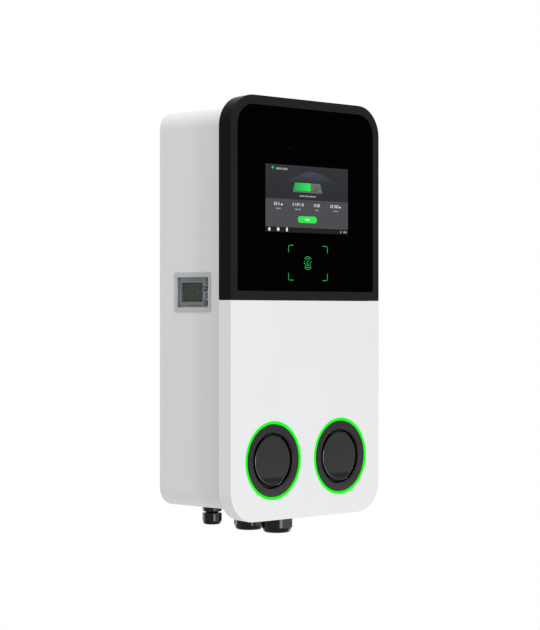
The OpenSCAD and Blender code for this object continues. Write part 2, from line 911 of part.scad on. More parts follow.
// Torsion spring around the pin: one closed tube with a short straight leg at each end
module coil_spring() {
    rings = 8;
    sides = 6;
    turns = [for (i = [0:rings * spring_turns])
        [coil_x + coil_pitch * i / rings, coil_r * cos(360 * i / rings), -coil_r * sin(360 * i / rings)]];
    last = len(turns) - 1;
    path = concat([turns[0] + [0, 0, -leg_l]], [turns[0] + [0, 0, -0.3]],
        [for (i = [1:last - 1]) turns[i]],
        [turns[last] + [0, 0, 0.3]], [turns[last] + [0, 0, spring_leg]]);
    n = len(path);
    points = [for (i = [0:n - 1])
        let (way = path[min(i + 1, n - 1)] - path[max(i - 1, 0)],
            t = way / norm(way),
            u0 = cross(t, [1, 0, 0]),
            u = u0 / norm(u0),
            v = cross(t, u))
            for (k = [0:sides - 1])
                path[i] + wire_r * (cos(360 * k / sides) * u + sin(360 * k / sides) * v)];
    faces = concat([[for (k = [0:sides - 1]) k]],
        [for (i = [0:n - 2], k = [0:sides - 1])
            [i * sides + k, (i + 1) * sides + k, (i + 1) * sides + (k + 1) % sides]],
        [for (i = [0:n - 2], k = [0:sides - 1])
            [i * sides + k, (i + 1) * sides + (k + 1) % sides, i * sides + (k + 1) % sides]],
        [[for (k = [sides - 1:-1:0]) (n - 1) * sides + k]]);
    echo(spring_gap = coil_pitch - 2 * wire_r);
    color([0.16, 0.16, 0.17])
        at_hinge()
            polyhedron(points, faces);
}

module hinge_pin() {
    color([0.16, 0.16, 0.17])
        at_hinge()
            xcyl(pin_r, -pin_half, pin_half);
}

module at_meter() {
    translate([0, meter_y, meter_z])
        children();
}

module window_2d(grow, r) {
    panel_2d(window_w + 2 * grow, -window_h / 2 - grow, window_h / 2 + grow, r, r);
}

module meter_frame() {
    color([0.66, 0.66, 0.67])
        at_meter()
            difference() {
                union() {
                    yz(side_x - frame_proud, side_x)
                        panel_2d(meter_frame_w, -meter_frame_h / 2, meter_frame_h / 2, 3, 3);
                    yz(side_x - frame_proud, side_x + housing_wall)
                        window_2d(window_lap + collar_t, 2);
                }
                yz(side_x - frame_proud - cut, side_x + housing_wall + cut)
                    window_2d(0, 1);
                yz(side_x - frame_proud + window_seat, side_x + housing_wall + cut)
                    window_2d(window_lap, 1);
            }
}

module meter_window() {
    color([0.8, 0.85, 0.88, 0.4])
        at_meter()
            yz(side_x - frame_proud + window_seat, side_x - frame_proud + window_seat + window_t)
                window_2d(window_lap - close_gap, 1);
}

module energy_meter() {
    color([0.4, 0.42, 0.43])
        difference() {
            at_meter()
                union() {
                    translate([face_x, -meter_nose_w / 2, -meter_nose_h / 2])
                        cube([meter_step + cut, meter_nose_w, meter_nose_h]);
                    translate([face_x + meter_step, -meter_w / 2, -meter_h / 2])
                        cube([meter_d - meter_step, meter_w, meter_h]);
                }
            translate([rail_x - close_gap, meter_y - meter_w, meter_z - rail_h / 2 - fit_gap])
                cube([slot_d + cut, 2 * meter_w, rail_h + 2 * fit_gap]);
            translate([face_x - cut, lcd_y - lcd_w / 2 - close_gap, meter_z - lcd_h / 2 - close_gap])
                cube([lcd_sink + lcd_t + cut, lcd_w + 2 * close_gap, lcd_h + 2 * close_gap]);
            for (i = [1:4])
                at_key(i)
                    translate([-cut, -key_w / 2 - fit_gap, -key_h / 2 - fit_gap])
                        cube([key_l - key_top + key_travel + fit_gap + cut, key_w + 2 * fit_gap,
                            key_h + 2 * fit_gap]);
        }
}

module meter_lcd() {
    color([0.25, 0.28, 0.24])
        translate([face_x + lcd_sink, lcd_y - lcd_w / 2, meter_z - lcd_h / 2])
            cube([lcd_t, lcd_w, lcd_h]);
}

module at_key(i) {
    translate([face_x, key_y - (i % 2) * key_stagger, meter_z + (2.5 - i) * key_pitch])
        children();
}

module meter_key(i) {
    color([0.12, 0.14, 0.14])
        at_key(i)
            yz(-key_top, key_l - key_top)
                panel_2d(key_w, -key_h / 2, key_h / 2, 1.5, 1.5);
}

// Hat rail that the meter clips on
module meter_rail() {
    rail_l = meter_w + 14;
    color([0.74, 0.75, 0.77])
        translate([rail_x, meter_y - rail_l / 2, meter_z])
            for (s = [0, 1])
                mirror([0, 0, s]) {
                    translate([0, 0, rail_h / 2 - 5])
                        cube([rail_t, rail_l, 5]);
                    translate([0, 0, rail_h / 2 - 5 - rail_t])
                        cube([rail_d, rail_l, rail_t + 0.01]);
                    translate([rail_d - rail_t, 0, -0.01])
                        cube([rail_t, rail_l, rail_h / 2 - 5 - rail_t + 0.02]);
                }
}

module meter_bracket() {
    bracket_x = rail_x + rail_d;
    color([0.68, 0.69, 0.71])
        difference() {
            union() {
                translate([bracket_x, meter_y - meter_w / 2 - 8, meter_z - 48])
                    cube([plate_t, y_plate - meter_y + meter_w / 2 + 8, 96]);
                translate([bracket_x, y_plate - plate_t, meter_z - 48])
                    cube([plate_t + foot_w, plate_t, 96]);
            }
            drill(foot_spots, pass_r, y_plate - plate_t - cut, y_plate + cut);
        }
}

module mounting_plate() {
    color([0.7, 0.71, 0.73])
        difference() {
            union() {
                xz(y_plate, y_plate + plate_t)
                    panel_2d(plate_w, -plate_h / 2, plate_h / 2, 6, 6);
                for (p = concat(power_board_spots, control_spots))
                    translate([p[0], 0, p[1]])
                        ycyl(3.5, y_plate - post_h, y_plate + 0.5);
            }
            drill(plate_spots, pass_r, y_plate - cut, y_plate + plate_t + cut);
            drill(concat(power_board_spots, control_spots), pilot_r, y_plate - post_h - cut,
                y_plate + plate_t + cut);
            drill(foot_spots, pilot_r, y_plate - cut, y_plate + plate_t + cut);
        }
}

module power_board() {
    color([0.08, 0.28, 0.15])
        difference() {
            board(0, power_board_low + power_board_h / 2, power_board_w, power_board_h, y_board);
            drill(power_board_spots, pass_r, y_board - cut, y_board + board_t + cut);
        }
}

module power_relays() {
    relay_w = 30;
    relay_h = 18;
    relay_d = 25;
    color([0.12, 0.12, 0.13])
        for (s = [-1, 1], i = [0:3])
            translate([s * 60 - relay_w / 2, y_board - relay_d,
                power_board_low + power_board_h - 34 - i * 28])
                cube([relay_w, relay_d, relay_h]);
}

module control_board() {
    chip_h = 4;
    color([0.1, 0.32, 0.18])
        difference() {
            union() {
                board(control_x, control_z, control_w, control_h, y_board);
                for (p = [[-30, 10, 36, 30], [24, 22, 20, 20], [30, -30, 60, 12], [-40, -32, 40, 12]])
                    translate([control_x + p[0] - p[2] / 2, y_board - chip_h,
                        control_z + p[1] - p[3] / 2])
                        cube([p[2], chip_h + board_t, p[3]]);
            }
            drill(control_spots, pass_r, y_board - cut, y_board + board_t + cut);
        }
}

// Two supply terminals with five clamps each
module supply_terminals() {
    term_w = 38;
    term_h = 34;
    term_d = 32;
    pole = 7.4;
    color([0.75, 0.76, 0.74])
        for (s = [-1, 1])
            difference() {
                translate([s * (term_w / 2 + 1) - term_w / 2, y_board - term_d, power_board_low + 3])
                    cube([term_w, term_d, term_h]);
                for (i = [-2:2])
                    translate([s * (term_w / 2 + 1) + i * pole, y_board - term_d / 2, power_board_low + 2])
                        cylinder(r = 2.6, h = 18);
            }
}

// Straight leads from the contact tails to the power board
module socket_leads() {
    lead_y = bore_end + shell_back_t + tail_out;
    color([0.85, 0.45, 0.1])
        for (s = [-1, 1])
            at_socket(s) {
                for (p = power_spots)
                    translate([p[0], 0, p[1]])
                        ycyl(2.6, lead_y, y_board);
                for (p = signal_spots)
                    translate([p[0], 0, p[1]])
                        ycyl(1.4, lead_y, y_board);
            }
}

// Gland places with their thread radius and hexagon in $thread_r and $flat
module power_places() {
    for (i = [0, 1])
        translate([0, -gland_from_wall - i * gland_pitch, 0]) {
            $thread_r = power_thread_r;
            $flat = power_flat;
            children();
        }
}

module data_place() {
    translate([-data_gland_x, -gland_from_wall, 0]) {
        $thread_r = data_thread_r;
        $flat = data_flat;
        children();
    }
}

module gland_places() {
    power_places()
        children();
    data_place()
        children();
}

function gland_hex_h(thread_r) = 6 + 0.4 * thread_r;
function gland_gap(thread_r) = 1.2 + 0.1 * thread_r;
function gland_cap_h(thread_r) = 1.75 * thread_r;
function gland_hole_r(thread_r) = thread_r - 3.2;
function gland_seal_h(thread_r) = 0.72 * thread_r;
function gland_seal_r(thread_r) = 0.66 * thread_r;
function gland_cap_z(thread_r) = housing_low - gland_hex_h(thread_r) - gland_gap(thread_r);
function gland_end_z(thread_r) = gland_cap_z(thread_r) - gland_cap_h(thread_r);

// Hexagon whose corners are turned down to a round
module gland_hex(h) {
    intersection() {
        cylinder(d = $flat / cos(30), h = h, $fn = 6);
        cylinder(d = corner_share * $flat / cos(30), h = h);
    }
}

// Thread, hexagon and inner tube of one gland
module gland_body() {
    thread_low = gland_end_z($thread_r) + cap_end + gland_seal_h($thread_r);
    difference() {
        union() {
            translate([0, 0, thread_low])
                cylinder(r = $thread_r, h = housing_low + housing_wall + gland_in - thread_low);
            translate([0, 0, housing_low - gland_hex_h($thread_r)])
                gland_hex(gland_hex_h($thread_r));
        }
        translate([0, 0, thread_low - cut])
            cylinder(r = gland_hole_r($thread_r), h = 200);
    }
}

// Cap nut: hexagon above, round end below, hollow for thread and seal
module gland_nut() {
    end_z = gland_end_z($thread_r);
    cap_h = gland_cap_h($thread_r);
    round_h = 0.24 * cap_h;
    difference() {
        union() {
            translate([0, 0, end_z + round_h])
                gland_hex(cap_h - round_h);
            translate([0, 0, end_z])
                cylinder(r1 = $flat / 2 - round_h / 2, r2 = $flat / 2 - 0.2, h = round_h + 0.01);
        }
        translate([0, 0, end_z - cut])
            cylinder(r = gland_hole_r($thread_r), h = cap_h + 2 * cut);
        translate([0, 0, end_z + cap_end])
            cylinder(r = $thread_r + close_gap, h = cap_h);
    }
}

// Rubber seal clamped between body and cap nut
module gland_seal() {
    difference() {
        translate([0, 0, gland_end_z($thread_r) + cap_end])
            cylinder(r = $thread_r, h = gland_seal_h($thread_r));
        translate([0, 0, gland_end_z($thread_r)])
            cylinder(r = gland_seal_r($thread_r), h = cap_end + gland_seal_h($thread_r) + cut);
    }
}

module gland_locknut() {
    translate([0, 0, housing_low + housing_wall])
        difference() {
            cylinder(d = $flat / cos(30), h = locknut_h, $fn = 6);
            translate([0, 0, -cut])
                cylinder(r = $thread_r + close_gap, h = locknut_h + 2 * cut);
        }
}

module power_gland_bodies() {
    color([0.13, 0.13, 0.13])
        power_places()
            gland_body();
}

module power_gland_nuts() {
    color([0.14, 0.14, 0.14])
        power_places()
            gland_nut();
}

module data_gland_body() {
    color([0.13, 0.13, 0.13])
        data_place()
            gland_body();
}

module data_gland_nut() {
    color([0.14, 0.14, 0.14])
        data_place()
            gland_nut();
}

module gland_seals() {
    color([0.05, 0.05, 0.05])
        gland_places()
            gland_seal();
}

module gland_locknuts() {
    color([0.15, 0.15, 0.15])
        gland_places()
            gland_locknut();
}

module cover_screws() {
    color([0.6, 0.61, 0.63])
        screws_out(concat(upper_spots, lower_spots), y_seam, frame_t + shank_l);
}

module inner_screws() {
    color([0.6, 0.61, 0.63]) {
        screws_in(rim_spots, y_frame, shank_l);
        screws_in(plate_spots, y_plate, plate_t + stand_h - 1);
        screws_in(power_board_spots, y_board, board_t + post_h);
        screws_in(control_spots, y_board, board_t + post_h);
        screws_in(foot_spots, y_plate - plate_t, plate_t + 1.5);
        screws_out(display_board_spots, y_display_board + board_t, board_t + post_h - 1);
        screws_out(hanger_spots, y_back + sheet_t, sheet_t + shank_l - 2);
        for (s = [-1, 1])
            at_socket(s)
                screws_out(flange_spots, y_seam + flange_t, flange_t + shank_l);
    }
}

wall_bracket();
hanger_rail();
rear_housing();
cover_gasket();
front_frame();
upper_bezel();
glass_panel();
display_module();
display_tray();
display_board();
card_reader();
lower_panel();
at_socket(-1) light_guide();  // led_ring_left
at_socket(1) light_guide();  // led_ring_right
at_socket(-1) light_board();  // led_board_left
at_socket(1) light_board();  // led_board_right
at_socket(-1) well();  // socket_bezel_left
at_socket(1) well();  // socket_bezel_right
at_socket(-1) shell();  // socket_shell_left
at_socket(1) shell();  // socket_shell_right
at_socket(-1) carrier();  // contact_carrier_left
at_socket(1) carrier();  // contact_carrier_right
at_socket(-1) contacts();  // socket_contacts_left
at_socket(1) contacts();  // socket_contacts_right
at_socket(-1) lock_drive();  // lock_actuator_left
at_socket(1) lock_drive();  // lock_actuator_right
at_socket(-1) lock_bolt();  // lock_bolt_left
at_socket(1) lock_bolt();  // lock_bolt_right
at_socket(-1) lid();  // socket_lid_left
at_socket(1) lid();  // socket_lid_right
at_socket(-1) lid_gasket();  // lid_seal_left
at_socket(1) lid_gasket();  // lid_seal_right
at_socket(-1) coil_spring();  // lid_spring_left
at_socket(1) coil_spring();  // lid_spring_right
at_socket(-1) hinge_pin();  // hinge_pin_left
at_socket(1) hinge_pin();  // hinge_pin_right
meter_frame();
meter_window();
energy_meter();
meter_lcd();
meter_key(1);  // meter_key_1
meter_key(2);  // meter_key_2
meter_key(3);  // meter_key_3
meter_key(4);  // meter_key_4
meter_rail();
meter_bracket();
mounting_plate();
power_board();
power_relays();
control_board();
supply_terminals();
power_gland_bodies();
power_gland_nuts();
data_gland_body();
data_gland_nut();
gland_seals();
gland_locknuts();
socket_leads();
cover_screws();
inner_screws();
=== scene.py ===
"""Looks of a wall-mounted car charger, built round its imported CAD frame.

Everything is in metres in the frame's own axes: X to the right as seen from the front, Y into the wall, Z up.
"""

import json
import math

import bmesh
import bpy
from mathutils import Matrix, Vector

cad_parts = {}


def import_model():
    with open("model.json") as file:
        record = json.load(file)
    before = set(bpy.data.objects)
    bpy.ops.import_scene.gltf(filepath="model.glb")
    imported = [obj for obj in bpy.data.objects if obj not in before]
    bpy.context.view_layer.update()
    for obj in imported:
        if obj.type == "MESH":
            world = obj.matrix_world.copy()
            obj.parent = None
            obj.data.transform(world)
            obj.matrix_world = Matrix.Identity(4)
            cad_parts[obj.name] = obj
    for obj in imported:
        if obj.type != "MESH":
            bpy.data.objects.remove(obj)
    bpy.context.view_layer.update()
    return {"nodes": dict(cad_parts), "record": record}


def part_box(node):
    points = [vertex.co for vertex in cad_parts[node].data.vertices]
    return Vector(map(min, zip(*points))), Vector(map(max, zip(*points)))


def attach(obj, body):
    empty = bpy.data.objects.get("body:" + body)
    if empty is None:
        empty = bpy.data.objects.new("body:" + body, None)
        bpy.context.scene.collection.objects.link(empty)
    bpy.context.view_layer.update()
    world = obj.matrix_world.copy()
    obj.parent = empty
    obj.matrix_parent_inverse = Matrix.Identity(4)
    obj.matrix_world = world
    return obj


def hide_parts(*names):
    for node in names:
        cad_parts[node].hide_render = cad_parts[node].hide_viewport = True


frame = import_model()

MM = 0.001
TURN = 2 * math.pi
GLOSS = "Specular IOR Level"
NOISE_LOW, NOISE_HIGH = 0.3, 0.7  # where most values of a noise lie

# Cover, from the frame
PANEL_LO, PANEL_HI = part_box("lower_panel")
BEZEL_LO, BEZEL_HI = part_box("upper_bezel")
GLASS_LO, GLASS_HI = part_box("glass_panel")
Y_FRONT = PANEL_LO.y
Y_SEAM = PANEL_HI.y
COVER_W = PANEL_HI.x - PANEL_LO.x
SPLIT_Z = (PANEL_HI.z + BEZEL_LO.z) / 2
COVER_R = 46 * MM
COVER_WALL = 3 * MM
COVER_DRAFT = 1.25 * MM
EDGE_R = 0.6 * MM
SEAM_R = 0.3 * MM
PANEL_FACE = 3.5 * MM
BEZEL_FACE = 6 * MM
GLASS_MARGIN = GLASS_LO.x - PANEL_LO.x
GLASS_GAP = 0.2 * MM
GLASS_LOW_R = 3 * MM
GLASS_EDGE = 0.35 * MM
LEDGE_W = 8 * MM

# Sockets, from the frame
WELL_LO, WELL_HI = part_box("socket_bezel_left")
LID_LO, LID_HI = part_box("socket_lid_left")
GUIDE_LO, GUIDE_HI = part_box("led_ring_left")
SOCKET_X = -(WELL_LO.x + WELL_HI.x) / 2
SOCKET_Z = (WELL_LO.z + WELL_HI.z) / 2
ANNULUS_R = (WELL_HI.x - WELL_LO.x) / 2
LID_R = (LID_HI.x - LID_LO.x) / 2
GUIDE_R = (GUIDE_HI.x - GUIDE_LO.x) / 2
Y_GUIDE = Y_FRONT + PANEL_FACE
WELL_R = 40.4 * MM
WELL_EDGE = 1.7 * MM
MOUTH_R = WELL_R + 0.9 * WELL_EDGE
FACET = 0.35 * MM
FACET_W = FACET * math.cos(math.radians(30))
SURROUND_EDGE = 0.5 * MM
TUBE_R = 45.9 * MM
RING_IN_R = ANNULUS_R + GLASS_GAP
RING_W = 4 * MM
RING_R = RING_IN_R + RING_W
RING_EDGE = 0.35 * MM
RING_WALL = 1.5 * MM
RING_TUBE_GAP = 0.5 * MM
HOLE_R = RING_R + GLASS_GAP
SIDES = {"left": -1, "right": 1}

# Lid and hinge
LID_T = 5 * MM
LID_Y1 = LID_HI.y
LID_Y0 = LID_Y1 - LID_T
LIP_DROP = 24 * MM
LIP_REACH = LID_Y0 - LID_LO.y
LIP_H = LID_R - LIP_DROP
LIP_R = (LIP_H**2 + LIP_REACH**2) / (2 * LIP_REACH)
LID_EDGE = 1.0 * MM
LID_EDGE_LIP = 1.5 * MM
LID_EDGE_HINGE = 0.2 * MM
LID_EDGE_BACK = 0.4 * MM
LID_SKIN = 0.45 * MM
PLATE_STEPS, RIM_STEPS = 20, 8
LEAN_LIP = 0.14  # faces that lean upwards by more than this are the lip's inner face
RIM_FRONT, RIM_BACK = -0.985, 0.5  # the normals of the rim lie between these along Y
KNUCKLE_HALF = 7 * MM
POCKET_R = 1.85 * MM
POCKET_EDGE = 0.5 * MM
RIM_EASE = 8 * MM
PIN_STEPS = 24
PIN_LO, PIN_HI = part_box("hinge_pin_left")
PIN_HOLE_R = (PIN_HI.z - PIN_LO.z) / 2 + 0.05 * MM
HINGE_Y = (PIN_LO.y + PIN_HI.y) / 2
HINGE_Z = (PIN_LO.z + PIN_HI.z) / 2 - SOCKET_Z

# Glands: flats over thread radius, share of the hexagon's corners, share of the round end
FLAT_SHARE = 2.69
CORNER_SHARE = 0.95
ROUND_SHARE = 0.24
GLAND_WALL = 3.2 * MM
GLAND_SHARP = 18
THREAD_PITCH = 1.5 * MM
THREAD_DEPTH = 0.5 * MM
THREAD_RINGS = 16
FLANGE_CHAMFER = 1.3 * MM
NUT_CHAMFER = 1.2 * MM
BORE_CHAMFER = 0.6 * MM
SEAL_SEAT = 4 * MM
DOME_STEPS = 10

# Printed and lit marks: each layer's thickness and how far it sinks into what carries it
LAYER = 0.05 * MM
SINK = 0.03 * MM
METER_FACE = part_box("energy_meter")[0].x

# Screen, in millimetres from the middle of the charger; a slit keeps its plates from touching
SLIT = 0.03
SCREEN_HALF = 88.6
SCREEN_ZONES = (112.3, 120.0, 161.3, 211.5)
# Strokes that are lit in each figure, as on a display with seven of them
FIGURES = {"0": "abcdef", "1": "bc", "2": "abged", "3": "abgcd", "4": "fgbc", "5": "afgcd", "6": "afgedc",
           "7": "abc", "8": "abcdefg", "9": "abfgcd"}

# CAD nodes that stay: rounding of their edges, and how the rounding finds them (angles in degrees)
SOFT_EDGES = {"rear_housing": 1.0 * MM, "meter_frame": 0.5 * MM,
              **{f"meter_key_{i}": 0.4 * MM for i in range(1, 5)}}
WELD_GAP = 0.002 * MM
FLAT_ANGLE, EDGE_ANGLE = 0.5, 40

# Studio: the photograph's camera, the level of the soft light, and lamps by place, power, width and height
CAMERA_LENS = 115.75
SENSOR_W = 36
CAMERA_PLACE = (-2.1784, -2.2527, -0.00955)
CAMERA_LOOK = (0.7097, 0.7045, 0.0)
SOFT_LIGHT = 0.78
LAMPS = {"key": ((-0.7, -2.45, -0.15), 17.5, 0.26, 1.5),
         "top": ((-0.4, -0.3, 2.3), 25, 1.5, 1.5),
         "low": ((1.76, -1.87, -0.68), 0.95, 0.5, 0.3),
         "side": ((2.2, -0.42, -0.9), 9, 0.5, 0.5)}
FLOOR_R = 4.0
FLOOR_Z = -1.25

# Steps of round shapes
CORNER_STEPS = 14
ROUND_STEPS = 128
CORNER_HALF = math.atan((1 - CORNER_SHARE) / (CORNER_SHARE * math.tan(math.pi / 6)))
GLAND_ANGLES = sorted([TURN * k / 120 for k in range(120)]
                      + [TURN * k / 6 + s * CORNER_HALF for k in range(6) for s in (-1, 1)])


def srgb(red, green, blue):
    """Linear colour of an sRGB value given as 0 to 255."""
    def linear(value):
        part = value / 255
        return part / 12.92 if part <= 0.04045 else ((part + 0.055) / 1.055) ** 2.4
    return (linear(red), linear(green), linear(blue), 1.0)


def add(tree, kind, inputs=None, **settings):
    """A shader node with its settings and the values of its sockets."""
    node = tree.nodes.new("ShaderNode" + kind)
    for key, value in settings.items():
        setattr(node, key, value)
    for key, value in (inputs or {}).items():
        node.inputs[key].default_value = value
    return node


def new_look(name, sockets):
    """An empty material: its node tree, its shader and its object coordinates."""
    mat = bpy.data.materials.new(name)
    mat.use_nodes = True
    tree = mat.node_tree
    shader = tree.nodes["Principled BSDF"]
    for key, value in sockets.items():
        shader.inputs[key].default_value = value
    coords = add(tree, "TexCoord").outputs["Object"]
    return mat, tree, shader, coords


def stretched(tree, coords, scale):
    """Coordinates that are stretched along the axes."""
    mapping = add(tree, "Mapping", {"Scale": scale})
    tree.links.new(coords, mapping.inputs["Vector"])
    return mapping.outputs["Vector"]


def noise(tree, coords, scale, detail=3.0):
    """The value of a noise with features about 1 / scale metres wide."""
    node = add(tree, "TexNoise", {"Scale": scale, "Detail": detail})
    tree.links.new(coords, node.inputs["Vector"])
    return node.outputs["Fac"]


def spread(tree, value, low, high):
    """A noise value moved into a range."""
    node = add(tree, "MapRange", {"From Min": NOISE_LOW, "From Max": NOISE_HIGH,
                                  "To Min": low, "To Max": high})
    tree.links.new(value, node.inputs["Value"])
    return node.outputs["Result"]


def ramp(tree, value, stops):
    """Colours along a value: stops are (place, colour)."""
    node = add(tree, "ValToRGB")
    elements = node.color_ramp.elements
    for i, (place, colour) in enumerate(stops):
        element = elements[i] if i < 2 else elements.new(place)
        element.position = place
        element.color = colour
    tree.links.new(value, node.inputs["Fac"])
    return node.outputs["Color"]


def shade(colour, factor):
    """A colour made darker or lighter."""
    return tuple(min(1.0, c * factor) for c in colour[:3]) + (1.0,)


def drifting(tree, value, colour, low, high):
    """A colour that drifts with a noise value between two shades."""
    return ramp(tree, value, [(NOISE_LOW, shade(colour, low)), (NOISE_HIGH, shade(colour, high))])


def bump(tree, height, strength, distance, shader):
    """Relief from a height, on the shader's normal."""
    node = add(tree, "Bump", {"Strength": strength, "Distance": distance})
    tree.links.new(height, node.inputs["Height"])
    tree.links.new(node.outputs["Normal"], shader.inputs["Normal"])


def plastic(name, colour, rough, grain=700, relief=0.12, drift=0.04, sockets=None):
    """Moulded or painted surface: colour that drifts a little, uneven gloss and a fine grain."""
    mat, tree, shader, coords = new_look(name, sockets or {})
    tone = drifting(tree, noise(tree, coords, 9, 4), colour, 1 - drift, 1 + drift)
    tree.links.new(tone, shader.inputs["Base Color"])
    fine = noise(tree, coords, grain, 2)
    tree.links.new(spread(tree, fine, rough - 0.05, rough + 0.05), shader.inputs["Roughness"])
    bump(tree, fine, relief, 0.08 * MM, shader)
    return mat


def brushed(name, colour, rough, along, sockets=None):
    """Metal with fine lines along one axis and a cloudy tone."""
    mat, tree, shader, coords = new_look(name, {"Metallic": 1.0, **(sockets or {})})
    lines = noise(tree, stretched(tree, coords, along), 900, 2)
    cloud = noise(tree, coords, 22, 4)
    tree.links.new(drifting(tree, cloud, colour, 0.86, 1.08), shader.inputs["Base Color"])
    tree.links.new(spread(tree, lines, rough - 0.08, rough + 0.1), shader.inputs["Roughness"])
    bump(tree, lines, 0.15, 0.05 * MM, shader)
    return mat


def circuit_board(name, colour):
    """Solder mask with a darker and a lighter tone where tracks run under it."""
    mat, tree, shader, coords = new_look(name, {GLOSS: 0.4})
    tracks = add(tree, "TexBrick", {"Scale": 60.0, "Mortar Size": 0.03, "Color1": shade(colour, 0.85),
                                    "Color2": colour, "Mortar": shade(colour, 1.7)})
    turned = add(tree, "Mapping", {"Rotation": (math.pi / 2, 0, 0)})
    tree.links.new(coords, turned.inputs["Vector"])
    tree.links.new(turned.outputs["Vector"], tracks.inputs["Vector"])
    tree.links.new(tracks.outputs["Color"], shader.inputs["Base Color"])
    tree.links.new(spread(tree, noise(tree, coords, 400), 0.3, 0.45), shader.inputs["Roughness"])
    bump(tree, tracks.outputs["Fac"], 0.2, 0.05 * MM, shader)
    return mat


def glow(name, colour, strength=1.0, drift=0.05, grain=260):
    """Lit surface whose brightness drifts a little, with no gloss of its own."""
    sockets = {"Base Color": (0, 0, 0, 1), GLOSS: 0.0, "Emission Strength": strength}
    mat, tree, shader, coords = new_look(name, sockets)
    tone = drifting(tree, noise(tree, coords, grain, 2), colour, 1 - drift, 1 + drift)
    tree.links.new(tone, shader.inputs["Emission Color"])
    tree.links.new(spread(tree, noise(tree, coords, 800), 0.5, 0.6), shader.inputs["Roughness"])
    return mat


def fade(name, axis, start, end, stops, steps=()):
    """Lit surface whose colour runs along one axis, from start to end, with a jump at each step."""
    sockets = {"Base Color": (0, 0, 0, 1), GLOSS: 0.0, "Emission Strength": 1.0}
    mat, tree, shader, coords = new_look(name, sockets)
    split = add(tree, "SeparateXYZ")
    tree.links.new(coords, split.inputs["Vector"])
    place = add(tree, "MapRange", {"From Min": start, "From Max": end})
    tree.links.new(split.outputs[axis], place.inputs["Value"])
    held = [(step - 0.001, max((s for s in stops if s[0] < step), key=lambda s: s[0])[1]) for step in steps]
    tree.links.new(ramp(tree, place.outputs["Result"], sorted(stops + held)), shader.inputs["Emission Color"])
    tree.links.new(spread(tree, noise(tree, coords, 800), 0.5, 0.6), shader.inputs["Roughness"])
    return mat


def light_guide_look():
    """Frosted green light guide: a little brighter over each of its 24 lamps."""
    green = srgb(2, 253, 4)
    sockets = {"Base Color": shade(green, 0.05), GLOSS: 0.1, "Emission Strength": 1.0}
    mat, tree, shader, coords = new_look("light_guide_green", sockets)
    lamps = add(tree, "TexCoord").outputs["Generated"]
    centred = add(tree, "Mapping", {"Location": (-0.5, 0.5, 0), "Rotation": (math.pi / 2, 0, 0)})
    tree.links.new(lamps, centred.inputs["Vector"])
    angle = add(tree, "TexGradient", gradient_type="RADIAL")
    tree.links.new(centred.outputs["Vector"], angle.inputs["Vector"])
    wave = add(tree, "Math", {1: 24 * TURN}, operation="MULTIPLY")
    tree.links.new(angle.outputs["Fac"], wave.inputs[0])
    sine = add(tree, "Math", operation="SINE")
    tree.links.new(wave.outputs[0], sine.inputs[0])
    level = add(tree, "MapRange", {"From Min": -1.0, "From Max": 1.0})
    tree.links.new(sine.outputs[0], level.inputs["Value"])
    stops = [(0.0, shade(green, 0.95)), (1.0, green)]
    tree.links.new(ramp(tree, level.outputs["Result"], stops), shader.inputs["Emission Color"])
    tree.links.new(spread(tree, noise(tree, coords, 900), 0.4, 0.55), shader.inputs["Roughness"])
    return mat


def clear_pane(name):
    """Thin clear plastic: mostly see-through, with faint haze."""
    sockets = {"Base Color": (0.8, 0.84, 0.86, 1), GLOSS: 0.1}
    mat, tree, shader, coords = new_look(name, sockets)
    tree.links.new(spread(tree, noise(tree, coords, 60), 0.03, 0.08), shader.inputs["Roughness"])
    tree.links.new(spread(tree, noise(tree, coords, 30), 0.005, 0.012), shader.inputs["Alpha"])
    return mat


